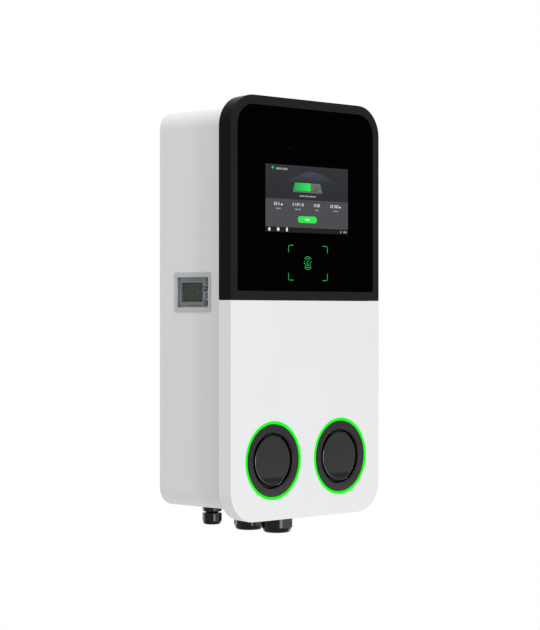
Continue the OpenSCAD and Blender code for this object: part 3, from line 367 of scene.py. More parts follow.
# Looks by material slot: name, colour, roughness, grain, relief and drift of the colour
DULL = {GLOSS: 0.2}
LOOKS = {
    "housing_white": plastic("housing_powder_coat", (0.79, 0.79, 0.80, 1), 0.5, 520, 0.2, 0.012, DULL),
    "panel_white": plastic("panel_white_moulded", (0.80, 0.81, 0.82, 1), 0.42, 1200, 0.05, 0.01, DULL),
    "bezel_black": plastic("bezel_black_moulded", srgb(33, 33, 33), 0.45, 1100, 0.03, 0.03, {GLOSS: 0.02}),
    "glass_black": plastic("glass_black_print", (0.0003, 0.0003, 0.0004, 1), 0.12, 40, 0.01, 0.2,
                           {GLOSS: 0.003}),
    "light_green": light_guide_look(),
    "socket_dark": plastic("socket_dark_moulded", srgb(12, 12, 12), 0.17, 1100, 0.03, 0.05, {GLOSS: 0.3}),
    "socket_black": plastic("socket_black_moulded", (0.012, 0.012, 0.013, 1), 0.5, 1000, 0.12, 0.1, DULL),
    "steel": brushed("steel_bright", (0.62, 0.63, 0.65, 1), 0.28, (0.05, 1, 1)),
    "steel_black": brushed("steel_black_oxide", (0.02, 0.02, 0.021, 1), 0.5, (0.05, 1, 1),
                           {"Metallic": 0.3, GLOSS: 0.1}),
    "sheet_zinc": brushed("zinc_sheet", (0.56, 0.58, 0.6, 1), 0.4, (1, 1, 0.04)),
    "contact_brass": brushed("contact_brass", (0.78, 0.62, 0.32, 1), 0.25, (1, 0.05, 1)),
    "rubber_black": plastic("rubber_black", (0.016, 0.016, 0.016, 1), 0.75, 1500, 0.3, 0.1, DULL),
    "board_green": circuit_board("board_green", (0.02, 0.12, 0.05, 1)),
    "display_grey": plastic("display_grey", (0.05, 0.05, 0.06, 1), 0.35, 500, 0.05, 0.05),
    "meter_grey": plastic("meter_grey_moulded", srgb(128, 134, 139), 0.55, 900, 0.12, 0.04, DULL),
    "key_dark": plastic("key_dark_moulded", srgb(62, 70, 68), 0.6, 900, 0.1, 0.08, DULL),
    "frame_grey": plastic("frame_grey_moulded", srgb(193, 194, 196), 0.5, 900, 0.1, 0.02, DULL),
    "meter_clear": clear_pane("meter_clear"),
    "lcd_green": plastic("lcd_reflective", srgb(57, 64, 52), 0.5, 300, 0.01, 0.03, {GLOSS: 0.1}),
    "gland_black": plastic("gland_black_nylon", (0.0015, 0.0015, 0.0015, 1), 0.1, 800, 0.02, 0.1, DULL),
    "lead_orange": plastic("lead_orange", (0.6, 0.18, 0.03, 1), 0.5, 900, 0.1, 0.05),
}
# Second looks of pieces that are duller or glossier in places, and painted shade on the bezel's sides and in
# the socket well
# The bezel's sides are painted far darker than its front: painted shade of the side faces
BEZEL_SIDE_SHADED = plastic("bezel_side_dull", srgb(11, 11, 11), 0.25, 1100, 0.03, 0.03, {GLOSS: 0.045})
# The socket well's wall is duller and painted near black: painted shade of the recess
WELL_WALL_SHADED = plastic("socket_well_dull", srgb(4, 4, 4), 0.3, 1100, 0.03, 0.05, {GLOSS: 0.03})
LID_PLATE = plastic("lid_dark", srgb(13, 13, 13), 0.18, 1100, 0.03, 0.08, {GLOSS: 0.31})
LID_LIP = plastic("lid_lip_dull", srgb(13, 13, 13), 0.18, 1100, 0.03, 0.08, {GLOSS: 0.15})
LID_RIM = plastic("lid_rim_glossy", srgb(13, 13, 13), 0.18, 1100, 0.03, 0.08, {GLOSS: 1.0, "IOR": 1.7})


def corner(cx, cz, radius, start):
    """Points of a quarter circle from the angle start."""
    turn = math.pi / 2 / CORNER_STEPS
    return [(cx + radius * math.cos(start + i * turn), cz + radius * math.sin(start + i * turn))
            for i in range(CORNER_STEPS + 1)]


def outline(w, z0, z1, r_up, r_low):
    """A rectangle of width w from z0 to z1 with one radius at its upper and one at its lower corners."""
    up, low = w / 2 - r_up, w / 2 - r_low
    z_up, z_low = z1 - r_up, z0 + r_low
    right_angle = math.pi / 2
    return (corner(up, z_up, r_up, 0) + corner(-up, z_up, r_up, right_angle)
            + corner(-low, z_low, r_low, 2 * right_angle) + corner(low, z_low, r_low, 3 * right_angle))


def rounded(corners, steps=5):
    """Closed path through corners (u, v, radius), with an arc at each corner that has a radius."""
    path = []
    for i, (u, v, radius) in enumerate(corners):
        here = Vector((u, v))
        if not radius:
            path.append(here)
            continue
        back = (Vector(corners[i - 1][:2]) - here).normalized()
        ahead = (Vector(corners[(i + 1) % len(corners)][:2]) - here).normalized()
        half = back.angle(ahead) / 2
        centre = here + (back + ahead).normalized() * (radius / math.sin(half))
        first = here + back * (radius / math.tan(half)) - centre
        last = here + ahead * (radius / math.tan(half)) - centre
        sweep = first.angle_signed(last)
        for k in range(steps + 1):
            a = -sweep * k / steps
            path.append(centre + Vector((first.x * math.cos(a) - first.y * math.sin(a),
                                         first.x * math.sin(a) + first.y * math.cos(a))))
    return path


def circle(cx, cz, radius, y, steps=ROUND_STEPS):
    """Points of a circle in a plane across Y."""
    return [Vector((cx + radius * math.cos(TURN * i / steps), y, cz + radius * math.sin(TURN * i / steps)))
            for i in range(steps)]


def loft(bm, rings, close=False):
    """Joins rings of equal length with faces, and the last to the first if closed. Returns the vertices."""
    rows = [[bm.verts.new(p) for p in ring] for ring in rings]
    pairs = list(zip(rows, rows[1:])) + ([(rows[-1], rows[0])] if close else [])
    for a, b in pairs:
        for i in range(len(a)):
            j = (i + 1) % len(a)
            bm.faces.new((a[i], a[j], b[j], b[i]))
    return rows


def loop_edges(bm, row):
    """Edges of a closed row of vertices."""
    return [bm.edges.get((row[i - 1], row[i])) for i in range(len(row))]


def fill(bm, rows):
    """Flat face inside the first row of vertices, with the other rows as holes."""
    edges = [e for row in rows for e in loop_edges(bm, row)]
    bmesh.ops.triangle_fill(bm, use_beauty=True, use_dissolve=False, edges=edges)


def lathe(bm, side, path):
    """A closed ring round a socket's axis from a closed path of (radius, y)."""
    loft(bm, [circle(SIDES[side] * SOCKET_X, SOCKET_Z, r, y) for r, y in path], close=True)


def even_normals(obj):
    """Large flat faces keep their own normal beside small rounded edges."""
    weighted = obj.modifiers.new("even_normals", "WEIGHTED_NORMAL")
    weighted.keep_sharp = True


def piece(name, bm, looks, body="charger", stands_for=(), sharp=35):
    """A piece that rides a body and may stand for CAD nodes; its faces pick among the looks."""
    bmesh.ops.recalc_face_normals(bm, faces=bm.faces)
    mesh = bpy.data.meshes.new(name)
    bm.to_mesh(mesh)
    bm.free()
    mesh.polygons.foreach_set("use_smooth", [True] * len(mesh.polygons))
    mesh.set_sharp_from_angle(angle=math.radians(sharp))
    for look in looks if isinstance(looks, tuple) else (looks,):
        mesh.materials.append(look)
    obj = bpy.data.objects.new(name, mesh)
    bpy.context.scene.collection.objects.link(obj)
    even_normals(obj)
    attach(obj, body)
    if stands_for:
        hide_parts(*stands_for)


def behind(bm, y):
    """Faces whose middle lies behind a depth take the second look."""
    for face in bm.faces:
        face.material_index = int(face.calc_center_median().y > y)


def draft(inset, y):
    """How far the top and bottom of the cover's outer wall lean in at a depth; its inside is straight."""
    return COVER_DRAFT * (y - Y_FRONT) / (Y_SEAM - Y_FRONT) if inset < COVER_WALL / 2 else 0


def lower_panel():
    """White panel with a rounded front edge and two round holes."""
    bm = bmesh.new()
    path = rounded([(COVER_WALL, Y_GUIDE, 0), (COVER_WALL, Y_SEAM, SEAM_R), (0, Y_SEAM, SEAM_R),
                    (0, Y_FRONT, EDGE_R), (COVER_WALL, Y_FRONT, 0)])
    rows = loft(bm, [[Vector((x, y, z)) for x, z in outline(
        COVER_W - 2 * inset, PANEL_LO.z + inset + draft(inset, y), PANEL_HI.z - inset,
        SEAM_R, COVER_R - inset)] for inset, y in path])
    holes = []
    for sign in SIDES.values():
        cuts = [(HOLE_R + SEAM_R, Y_FRONT), (HOLE_R, Y_FRONT + SEAM_R), (HOLE_R, Y_GUIDE)]
        holes.append(loft(bm, [circle(sign * SOCKET_X, SOCKET_Z, r, y) for r, y in cuts]))
    fill(bm, [rows[-1]] + [hole[0] for hole in holes])
    fill(bm, [rows[0]] + [hole[-1] for hole in holes])
    piece("front_panel_white", bm, LOOKS["panel_white"], stands_for=["lower_panel"])


def bezel_ring(inset, y):
    """Outline of the bezel, moved inwards; its lower corners grow rounder towards the glass."""
    low_r = SEAM_R + (GLASS_LOW_R - SEAM_R) * min(inset / GLASS_MARGIN, 1)
    z0 = max(BEZEL_LO.z, SPLIT_Z + inset)
    z1 = BEZEL_HI.z - inset - draft(inset, y)
    return [Vector((x, y, z)) for x, z in outline(COVER_W - 2 * inset, z0, z1, COVER_R - inset, low_r)]


def upper_bezel():
    """Black frame round the glass, with the ledge that carries it; its sides behind the front edge are
    painted darker, as painted shade.
    """
    bm = bmesh.new()
    opening = GLASS_MARGIN - GLASS_GAP
    ledge = GLASS_MARGIN + LEDGE_W
    path = rounded([(0, Y_SEAM, SEAM_R), (0, Y_FRONT, EDGE_R), (opening, Y_FRONT, SEAM_R),
                    (opening, GLASS_HI.y, 0), (ledge, GLASS_HI.y, 0), (ledge, Y_FRONT + BEZEL_FACE, 0),
                    (COVER_WALL, Y_FRONT + BEZEL_FACE, 0), (COVER_WALL, Y_SEAM, SEAM_R)])
    loft(bm, [bezel_ring(inset, y) for inset, y in path], close=True)
    # Faces behind the front edge take the darker side look, which is painted shade
    behind(bm, Y_FRONT + EDGE_R)
    looks = (LOOKS["bezel_black"], BEZEL_SIDE_SHADED)
    piece("front_bezel_black", bm, looks, stands_for=["upper_bezel"])


def glass():
    """Black glass with a ground edge."""
    bm = bmesh.new()
    ground = 0.3 * GLASS_EDGE
    path = [(0, GLASS_HI.y), (0, Y_FRONT + GLASS_EDGE), (ground, Y_FRONT + ground), (GLASS_EDGE, Y_FRONT)]
    width = GLASS_HI.x - GLASS_LO.x
    rows = loft(bm, [[Vector((x, y, z)) for x, z in outline(
        width - 2 * inset, GLASS_LO.z + inset, GLASS_HI.z - inset,
        COVER_R - GLASS_MARGIN - inset, GLASS_LOW_R - inset)] for inset, y in path])
    bm.faces.new(rows[0])
    bm.faces.new(rows[-1])
    piece("front_glass", bm, LOOKS["glass_black"], stands_for=["glass_panel"])


def light_ring(side):
    """Green ring in the panel with the flange that sits behind it."""
    bm = bmesh.new()
    inner, rim, step = TUBE_R + RING_TUBE_GAP, GUIDE_R - RING_WALL, Y_GUIDE + RING_WALL
    lathe(bm, side, rounded([
        (RING_IN_R, Y_FRONT, RING_EDGE), (RING_R, Y_FRONT, RING_EDGE), (RING_R, Y_GUIDE, 0),
        (GUIDE_R, Y_GUIDE, SEAM_R), (GUIDE_R, GUIDE_HI.y, SEAM_R), (rim, GUIDE_HI.y, SEAM_R),
        (rim, step, 0), (inner, step, 0), (inner, Y_GUIDE, 0), (RING_IN_R, Y_GUIDE, 0)]))
    node = f"led_ring_{side}"
    piece(f"light_ring_{side}", bm, LOOKS["light_green"], stands_for=[node])


def socket_surround(side):
    """Dark ring with an inner edge in two facets, and the round well behind it, whose wall is painted darker
    as painted shade.
    """
    bm = bmesh.new()
    front = WELL_LO.y
    lathe(bm, side, rounded([
        (ANNULUS_R, front, SURROUND_EDGE), (ANNULUS_R, Y_GUIDE, 0), (TUBE_R, Y_GUIDE, 0),
        (TUBE_R, Y_SEAM, SEAM_R), (WELL_R, Y_SEAM, SEAM_R), (WELL_R, front + WELL_EDGE, 0),
        (MOUTH_R, front + FACET / 2, 0), (MOUTH_R + FACET_W, front, 0)]))
    # The well's wall behind the mouth takes the darker look, which is painted shade
    behind(bm, front + WELL_EDGE)
    looks = (LOOKS["socket_dark"], WELL_WALL_SHADED)
    node = f"socket_bezel_{side}"
    piece(f"socket_surround_{side}", bm, looks, stands_for=[node], sharp=20)


def lip_y(z, radius):
    """Front or back of the lid at a height: flat, then an arc of that radius that turns outwards."""
    drop = max(0.0, -LIP_DROP - z)
    return LID_Y0 - LIP_R + math.sqrt(max(radius**2 - drop**2, 0.0))


def rim_r(z):
    """Rounding of the lid's front rim at a height: small over the hinge pockets, large along the lip."""
    pocket_low = HINGE_Z - POCKET_R - POCKET_EDGE
    up = min(max((z - pocket_low + RIM_EASE) / RIM_EASE, 0.0), 1.0)
    down = min(max((-LIP_DROP / 2 - z) / (LIP_DROP / 2), 0.0), 1.0)
    return LID_EDGE + (LID_EDGE_HINGE - LID_EDGE) * up + (LID_EDGE_LIP - LID_EDGE) * down


def lid_ring(side, share, turn, back):
    """Points of the lid at a share of its flat part and a turn round its rim, on its front or its back."""
    points = []
    for i in range(ROUND_STEPS):
        a = TURN * i / ROUND_STEPS
        rim = LID_EDGE_BACK if back else rim_r(LID_R * math.sin(a))
        r = share * (LID_R - rim) + rim * math.sin(turn)
        x, z = r * math.cos(a), r * math.sin(a)
        off = rim * (1 - math.cos(turn))
        y = lip_y(z, LIP_R + LID_T) - off if back else lip_y(z, LIP_R) + off
        points.append(Vector((SIDES[side] * SOCKET_X + x, y, SOCKET_Z + z)))
    return points


def lid_plate(bm, side):
    """Round plate with its lip: front from the middle to the rim, then the back."""
    steps = [(k / PLATE_STEPS, 0.0) for k in range(1, PLATE_STEPS + 1)]
    steps += [(1.0, math.pi / 2 * k / RIM_STEPS) for k in range(1, RIM_STEPS + 1)]
    front = [lid_ring(side, share, turn, False) for share, turn in steps]
    rear = [lid_ring(side, share, turn, True) for share, turn in reversed(steps)]
    rows = loft(bm, front + rear)
    bm.faces.new(rows[0])
    bm.faces.new(rows[-1])


def block(bm, lo, hi):
    """A box between two corners."""
    made = bmesh.ops.create_cube(bm, size=1)["verts"]
    for v in made:
        v.co = Vector([(a + b) / 2 + c * (b - a) for a, b, c in zip(lo, hi, v.co)])


def hinge_room(bm, side):
    """Pockets for pin and spring on the back of the lid, and the pin's hole in the knuckle between them."""
    middle = SIDES[side] * SOCKET_X
    low = SOCKET_Z + HINGE_Z - POCKET_R
    for sign in (-1, 1):
        ends = sorted((middle + sign * KNUCKLE_HALF, middle + sign * LID_R))
        block(bm, (ends[0], LID_Y0 + LID_SKIN, low), (ends[1], LID_Y1 + LID_T, SOCKET_Z + LID_R + LID_T))
    reach = KNUCKLE_HALF + 1 * MM
    angles = [TURN * k / PIN_STEPS for k in range(PIN_STEPS)]
    hole = [(PIN_HOLE_R * math.cos(a), PIN_HOLE_R * math.sin(a)) for a in angles]
    rows = loft(bm, [[Vector((x, HINGE_Y + dy, SOCKET_Z + HINGE_Z + dz)) for dy, dz in hole]
                     for x in (middle - reach, middle + reach)])
    for row in rows:
        bm.faces.new(row)


def carved(solid, cutter):
    """The first closed shape without the second."""
    objs = []
    for bm in (solid, cutter):
        bmesh.ops.recalc_face_normals(bm, faces=bm.faces)
        mesh = bpy.data.meshes.new("carving")
        bm.to_mesh(mesh)
        bm.free()
        objs.append(bpy.data.objects.new("carving", mesh))
        bpy.context.scene.collection.objects.link(objs[-1])
    cut = objs[0].modifiers.new("cut", "BOOLEAN")
    cut.object = objs[1]
    cut.solver = "EXACT"
    shape = objs[0].evaluated_get(bpy.context.evaluated_depsgraph_get())
    result = bmesh.new()
    result.from_mesh(shape.to_mesh())
    shape.to_mesh_clear()
    for obj in objs:
        mesh = obj.data
        bpy.data.objects.remove(obj)
        bpy.data.meshes.remove(mesh)
    return result


def lid(side):
    """Lid with room for its hinge; its lip is duller and its rim glossier than its plate."""
    plate, room = bmesh.new(), bmesh.new()
    lid_plate(plate, side)
    hinge_room(room, side)
    bm = carved(plate, room)
    bmesh.ops.recalc_face_normals(bm, faces=bm.faces)
    for face in bm.faces:
        rim = RIM_FRONT < face.normal.y < RIM_BACK
        face.material_index = 1 if face.normal.z > LEAN_LIP else 2 if rim else 0
    looks = (LID_PLATE, LID_LIP, LID_RIM)
    piece(f"lid_{side}_moulded", bm, looks, f"lid_{side}", [f"socket_lid_{side}"])


def hexagon_r(angle, flat):
    """Distance from the axis to a hexagon whose corners lie along X."""
    return flat / 2 / max(abs(math.cos(angle - math.pi / 6 - k * math.pi / 3)) for k in range(3))


def gland_ring(cx, cy, z, limit, flat=None, thread=0.0):
    """Points round a gland's axis: a circle, a hexagon cut flat at limit, or a thread of that depth."""
    points = []
    for a in GLAND_ANGLES:
        r = limit
        if flat:
            to_corner = (a + TURN / 12) % (TURN / 6) - TURN / 12
            r = min(limit / math.cos(to_corner), hexagon_r(a, flat))
        r -= thread * abs(2 * ((z / THREAD_PITCH + a / TURN) % 1) - 1)
        points.append(Vector((cx + r * math.cos(a), cy + r * math.sin(a), z)))
    return points


def gland_sizes(nut, body):
    """Sizes of one gland, from the boxes of its nut and body."""
    nut_lo, nut_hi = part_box(nut)
    body_lo, body_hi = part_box(body)
    wide_r = (nut_hi.x - nut_lo.x) / 2
    flat = 2 * wide_r / CORNER_SHARE * math.cos(math.pi / 6)
    thread_r = flat / FLAT_SHARE
    return {"flat": flat, "wide_r": wide_r, "thread_r": thread_r, "hole_r": thread_r - GLAND_WALL,
            "cap_top": nut_hi.z, "cap_low": nut_lo.z, "tube_low": body_lo.z, "tube_top": body_hi.z,
            "x": (nut_lo.x + nut_hi.x) / 2, "round_h": ROUND_SHARE * (nut_hi.z - nut_lo.z)}


def gland_body(bm, g, cy, flange_top, flange_low):
    """Threaded tube with a hexagon flange that seats under the housing."""
    rest = g["cap_top"] - THREAD_PITCH
    edge = g["flat"] / 2 + 0.2 * MM
    rings = [(g["tube_top"], g["thread_r"] - BORE_CHAMFER, None, 0),
             (g["tube_top"] - 1 * MM, g["thread_r"], None, 0),
             (flange_top, g["thread_r"], None, 0), (flange_top, g["wide_r"], g["flat"], 0),
             (flange_low + FLANGE_CHAMFER, g["wide_r"], g["flat"], 0), (flange_low, edge, g["flat"], 0),
             (flange_low, g["thread_r"], None, 0)]
    rings += [(flange_low + (rest - flange_low) * k / THREAD_RINGS, g["thread_r"], None, THREAD_DEPTH)
              for k in range(1, THREAD_RINGS + 1)]
    rings += [(g["tube_low"], g["thread_r"], None, 0), (g["tube_low"], g["hole_r"], None, 0),
              (g["tube_top"], g["hole_r"], None, 0)]
    loft(bm, [gland_ring(g["x"], cy, z, r, flat, depth) for z, r, flat, depth in rings], close=True)


def gland_nut(bm, g, cy):
    """Cap nut: chamfered hexagon, round end and the bore for the cable."""
    flat_r = g["flat"] / 2
    hex_low = g["cap_low"] + g["round_h"]
    bore_r = g["thread_r"] + 0.1 * MM
    seat = g["cap_low"] + SEAL_SEAT
    hex_top, hex_end = g["cap_top"] - NUT_CHAMFER, hex_low + NUT_CHAMFER
    rings = [(g["cap_top"], flat_r + 0.2 * MM, g["flat"]), (hex_top, g["wide_r"], g["flat"]),
             (hex_end, g["wide_r"], g["flat"]), (hex_low, flat_r - 0.1 * MM, g["flat"])]
    dome_top = hex_low - 0.2 * g["round_h"]
    dome_h = dome_top - g["cap_low"]
    dome_in = min(dome_h, flat_r - g["hole_r"] - 1.6 * MM)
    rings += [(dome_top - dome_h * math.sin(a), flat_r - 0.2 * MM - dome_in * (1 - math.cos(a)), None)
              for a in [math.pi / 2 * k / DOME_STEPS for k in range(DOME_STEPS + 1)]]
    rings += [(g["cap_low"], g["hole_r"] + BORE_CHAMFER, None),
              (g["cap_low"] + BORE_CHAMFER, g["hole_r"], None),
              (seat, g["hole_r"], None), (seat, bore_r, None), (g["cap_top"], bore_r, None)]
    loft(bm, [gland_ring(g["x"], cy, z, r, flat) for z, r, flat in rings], close=True)


def glands():
    """Two large glands for power cables and a small one for data, under the housing."""
    flange_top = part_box("rear_housing")[0].z
    for kind, nut, body in (("power", "power_gland_nuts", "power_gland_bodies"),
                            ("data", "data_gland_nut", "data_gland_body")):
        g = gland_sizes(nut, body)
        lo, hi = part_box(nut)
        half = g["flat"] / 2
        places = sorted({round(lo.y + half, 6), round(hi.y - half, 6)})
        flange_low = g["cap_top"] + 1.2 * MM + 0.1 * g["thread_r"]
        bodies, nuts = bmesh.new(), bmesh.new()
        for cy in places:
            gland_body(bodies, g, cy, flange_top, flange_low)
            gland_nut(nuts, g, cy)
        look = LOOKS["gland_black"]
        piece(f"{kind}_gland_threads", bodies, look, stands_for=[body], sharp=GLAND_SHARP)
        piece(f"{kind}_gland_caps", nuts, look, stands_for=[nut], sharp=GLAND_SHARP)


def on_glass(u, v, out):
    """A place on the glass, from its middle line and the middle height of the charger, in millimetres."""
    return Vector((u * MM, Y_FRONT - out, v * MM))


def on_meter(u, v, out):
    """A place on the meter's face: u runs towards the wall, v is up, in millimetres."""
    return Vector((METER_FACE - out, u * MM, v * MM))


def slab(bm, points, place, level=1):
    """A thin closed plate with the outline of the points; each level lies on the one below."""
    out = level * LAYER
    rows = loft(bm, [[place(u, v, o) for u, v in points] for o in (out - LAYER - SINK, out)])
    for row in rows:
        bm.faces.new(row)


def stroke(bm, points, width, place, level=1, close=False):
    """A thin closed line of that width along the points."""
    out = level * LAYER
    rings = []
    count = len(points)
    for i, point in enumerate(points):
        here = Vector(point)
        before = Vector(points[i - 1]) if i or close else here
        after = Vector(points[(i + 1) % count]) if i < count - 1 or close else here
        ahead = (after - before).normalized()
        turns = [(here - before).normalized(), (after - here).normalized()]
        bend = max(0.5, turns[0].dot(ahead)) if before != here else 1.0
        side = Vector((-ahead.y, ahead.x)) * (width / 2 / bend)
        left, right = here + side, here - side
        rings.append([place(left.x, left.y, out), place(right.x, right.y, out),
                      place(right.x, right.y, out - LAYER - SINK), place(left.x, left.y, out - LAYER - SINK)])
    rows = loft(bm, rings, close)
    if not close:
        bm.faces.new(rows[0])
        bm.faces.new(rows[-1])


def border(bm, outer, inner, place):
    """A thin closed plate between two outlines with as many points."""
    rings = [[place(u, v, out) for u, v in path] for path, out in (
        (outer, LAYER), (inner, LAYER), (inner, -SINK), (outer, -SINK))]
    loft(bm, rings, close=True)


def bar(u0, v0, u1, v1, radius=0.0):
    """Outline of an upright rectangle with rounded corners."""
    if not radius:
        return [(u0, v0), (u1, v0), (u1, v1), (u0, v1)]
    corners = [(u0, v0, radius), (u1, v0, radius), (u1, v1, radius), (u0, v1, radius)]
    return [(p.x, p.y) for p in rounded(corners)]


def arc(cu, cv, radius, start, end, steps):
    """Points of an arc between two angles in degrees."""
    angles = [math.radians(start + (end - start) * k / steps) for k in range(steps + 1)]
    return [(cu + radius * math.cos(a), cv + radius * math.sin(a)) for a in angles]


def digit(bm, name, u, v, w, h):
    """A figure made of up to seven straight strokes, with its lower left corner at u, v."""
    line = 0.26 * w
    mid = v + h / 2
    lit = FIGURES[name]
    low = v + (line + SLIT if "d" in lit else 0)
    high = v + h - (line + SLIT if "a" in lit else 0)
    half = SLIT + (line / 2 if "g" in lit else 0)
    strokes = {"a": (u, v + h - line, u + w, v + h), "b": (u + w - line, mid + half, u + w, high),
               "c": (u + w - line, low, u + w, mid - half), "d": (u, v, u + w, v + line),
               "e": (u, low, u + line, mid - half), "f": (u, mid + half, u + line, high),
               "g": (u, mid - line / 2, u + w, mid + line / 2)}
    for key in lit:
        slab(bm, bar(*strokes[key]), on_glass, 2)


def number(bm, signs, u, v, w, h):
    """A row of figures, with points and colons between them."""
    dot = 0.24 * w
    for sign in signs:
        if sign in FIGURES:
            digit(bm, sign, u, v, w, h)
            u += 1.36 * w
            continue
        for rise in ((0,) if sign == "." else (0.2 * h, 0.65 * h)):
            slab(bm, bar(u, v + rise, u + dot, v + rise + dot), on_glass, 2)
        u += 0.7 * w


def words(bm, u0, u1, v, h, parts, place=on_glass, level=2):
    """Plain bars in place of words, between u0 and u1; parts are their shares of the width."""
    gap = 0.45 * h
    scale = (u1 - u0 - gap * (len(parts) - 1)) / sum(parts)
    for part in parts:
        slab(bm, bar(u0, v, u0 + part * scale, v + h, 0.3 * h), place, level)
        u0 += part * scale + gap


def screen_ground():
    """Three zones of the lit screen, with a low hill of light behind the battery."""
    bm = bmesh.new()
    for low, high in zip(SCREEN_ZONES, SCREEN_ZONES[1:]):
        slab(bm, bar(-SCREEN_HALF, low + SLIT, SCREEN_HALF, high, 0.3), on_glass)
    span = SCREEN_ZONES[-1] - SCREEN_ZONES[0]
    steps = [(v - SCREEN_ZONES[0]) / span for v in SCREEN_ZONES]
    stops = [(steps[0], srgb(36, 36, 38)), (steps[1], srgb(78, 78, 82)), (steps[2], srgb(49, 49, 53)),
             (steps[3], srgb(53, 53, 58))]
    look = fade("screen_zones", "Z", SCREEN_ZONES[0] * MM, SCREEN_ZONES[-1] * MM, stops, steps[1:3])
    piece("screen_zones", bm, look)
    bm = bmesh.new()
    foot, peak = 186.0, 203.0
    hill = [(57, 190.5), (50, 193.2), (44, 195.5), (36, 198.3), (29, 200.5), (22, 202.1), (15, 203),
            (8, 203.2), (2, 202.9), (-5, 201.8), (-11, 200.2), (-17, 198), (-21, 196.3), (-27, 194.8),
            (-34, 192.9), (-43, 190.2), (-50, 187.4), (-53, foot), (66, foot)]
    slab(bm, hill, on_glass, 2)
    look = fade("screen_hill", "Z", foot * MM, peak * MM, [(0.0, srgb(50, 51, 56)), (1.0, srgb(70, 76, 87))])
    piece("screen_hill", bm, look)


def screen_battery():
    """Battery lying in view: a filled part, an empty part with flecks, and their pale front edge."""
    top, low, edge = 186.4, 174.6, 172.2
    split_top, split_low = 6.0, 6.8
    bm = bmesh.new()
    slab(bm, [(-31, low), (split_low, low), (split_top, top), (-27.2, top)], on_glass, 3)
    stops = [(0.0, srgb(46, 158, 82)), (1.0, srgb(58, 232, 88))]
    piece("screen_battery_full", bm, fade("battery_full", "X", -31 * MM, 7 * MM, stops))
    bm = bmesh.new()
    slab(bm, [(split_low + 0.3, low), (31.2, low), (27.1, top), (split_top + 0.3, top)], on_glass, 3)
    slab(bm, bar(-31, edge, 31.4, low - 0.2, 0.3), on_glass, 3)
    stops = [(0.0, srgb(112, 112, 113)), (0.25, srgb(92, 91, 93)), (1.0, srgb(112, 111, 114))]
    piece("screen_battery_empty", bm, fade("battery_empty", "Z", edge * MM, top * MM, stops))
    bm = bmesh.new()
    for u0, v0, u1, v1 in ((7, 180.8, 14, 182), (7, 176.6, 15, 178), (17, 184.8, 26, 186),
                           (25.5, 180.2, 28.6, 182), (22, 174.9, 30, 177)):
        slab(bm, bar(u0, v0, u1, v1, 0.5), on_glass, 4)
    piece("screen_flecks", bm, glow("fleck_green", srgb(84, 146, 78)))


def screen_figures():
    """Four readings and small signs in white."""
    bm = bmesh.new()
    row_v = 151.8
    for signs, start in (("20.5", -71), ("01:24:10", -31.6), ("13.86", 12), ("20.500", 49.3)):
        number(bm, signs, start, row_v, 2.5, 4.2)
    for u0, u1 in ((-56.8, -52.9), (69.0, 72.9)):
        words(bm, u0, u1, row_v, 2.2, (1,))
    words(bm, -4.6, 3.9, 131.0, 2.2, (1,), level=3)
    house = [(-83.6, 116.2), (-80.7, 119.2), (-77.8, 116.2), (-78.8, 116.2), (-78.8, 113.6), (-82.6, 113.6),
             (-82.6, 116.2)]
    slab(bm, house, on_glass, 2)
    slab(bm, arc(-62.3, 116.4, 2.7, 0, 345, 24), on_glass, 2)
    slab(bm, bar(-45.8, 113.6, -42.2, 119.2, 0.8), on_glass, 2)
    piece("screen_figures", bm, glow("screen_white", srgb(228, 229, 231)))


def screen_words():
    """Plain grey bars in place of the title, the caption and the labels, and thin dividers."""
    bm = bmesh.new()
    words(bm, -66.8, -42.7, 203.9, 3.0, (5, 4))
    words(bm, -17.5, 17.9, 165.9, 2.0, (4, 3, 5))
    for u0, u1 in ((-67, -57), (-26.8, -14.9), (16.9, 23.8), (56.1, 66.7)):
        words(bm, u0, u1, 145.8, 2.0, (3, 2))
    for u0, u1 in ((71.2, 74.4), (78.3, 85.6)):
        words(bm, u0, u1, 114.6, 2.6, (1,))
    piece("screen_words", bm, glow("screen_grey", srgb(150, 150, 153)))
    bm = bmesh.new()
    for u in (-42, 0, 42):
        slab(bm, bar(u - 0.2, 143, u + 0.2, 159), on_glass, 2)
    piece("screen_dividers", bm, glow("screen_line", srgb(96, 96, 100)))


def screen_greens():
    """Green star beside the title and the rounded button."""
    bm = bmesh.new()
    star = [(2.9, 0), (0.8, 0.7), (0, 3.0), (-0.8, 0.7), (-2.9, 0), (-0.8, -0.7), (0, -3.0), (0.8, -0.7)]
    slab(bm, [(-73.9 + u, 206.4 + v) for u, v in star], on_glass, 2)
    slab(bm, bar(-20.6, 127.2, 20.0, 137.0, 4.8), on_glass, 2)
    piece("screen_greens", bm, glow("screen_green", srgb(56, 230, 88)))


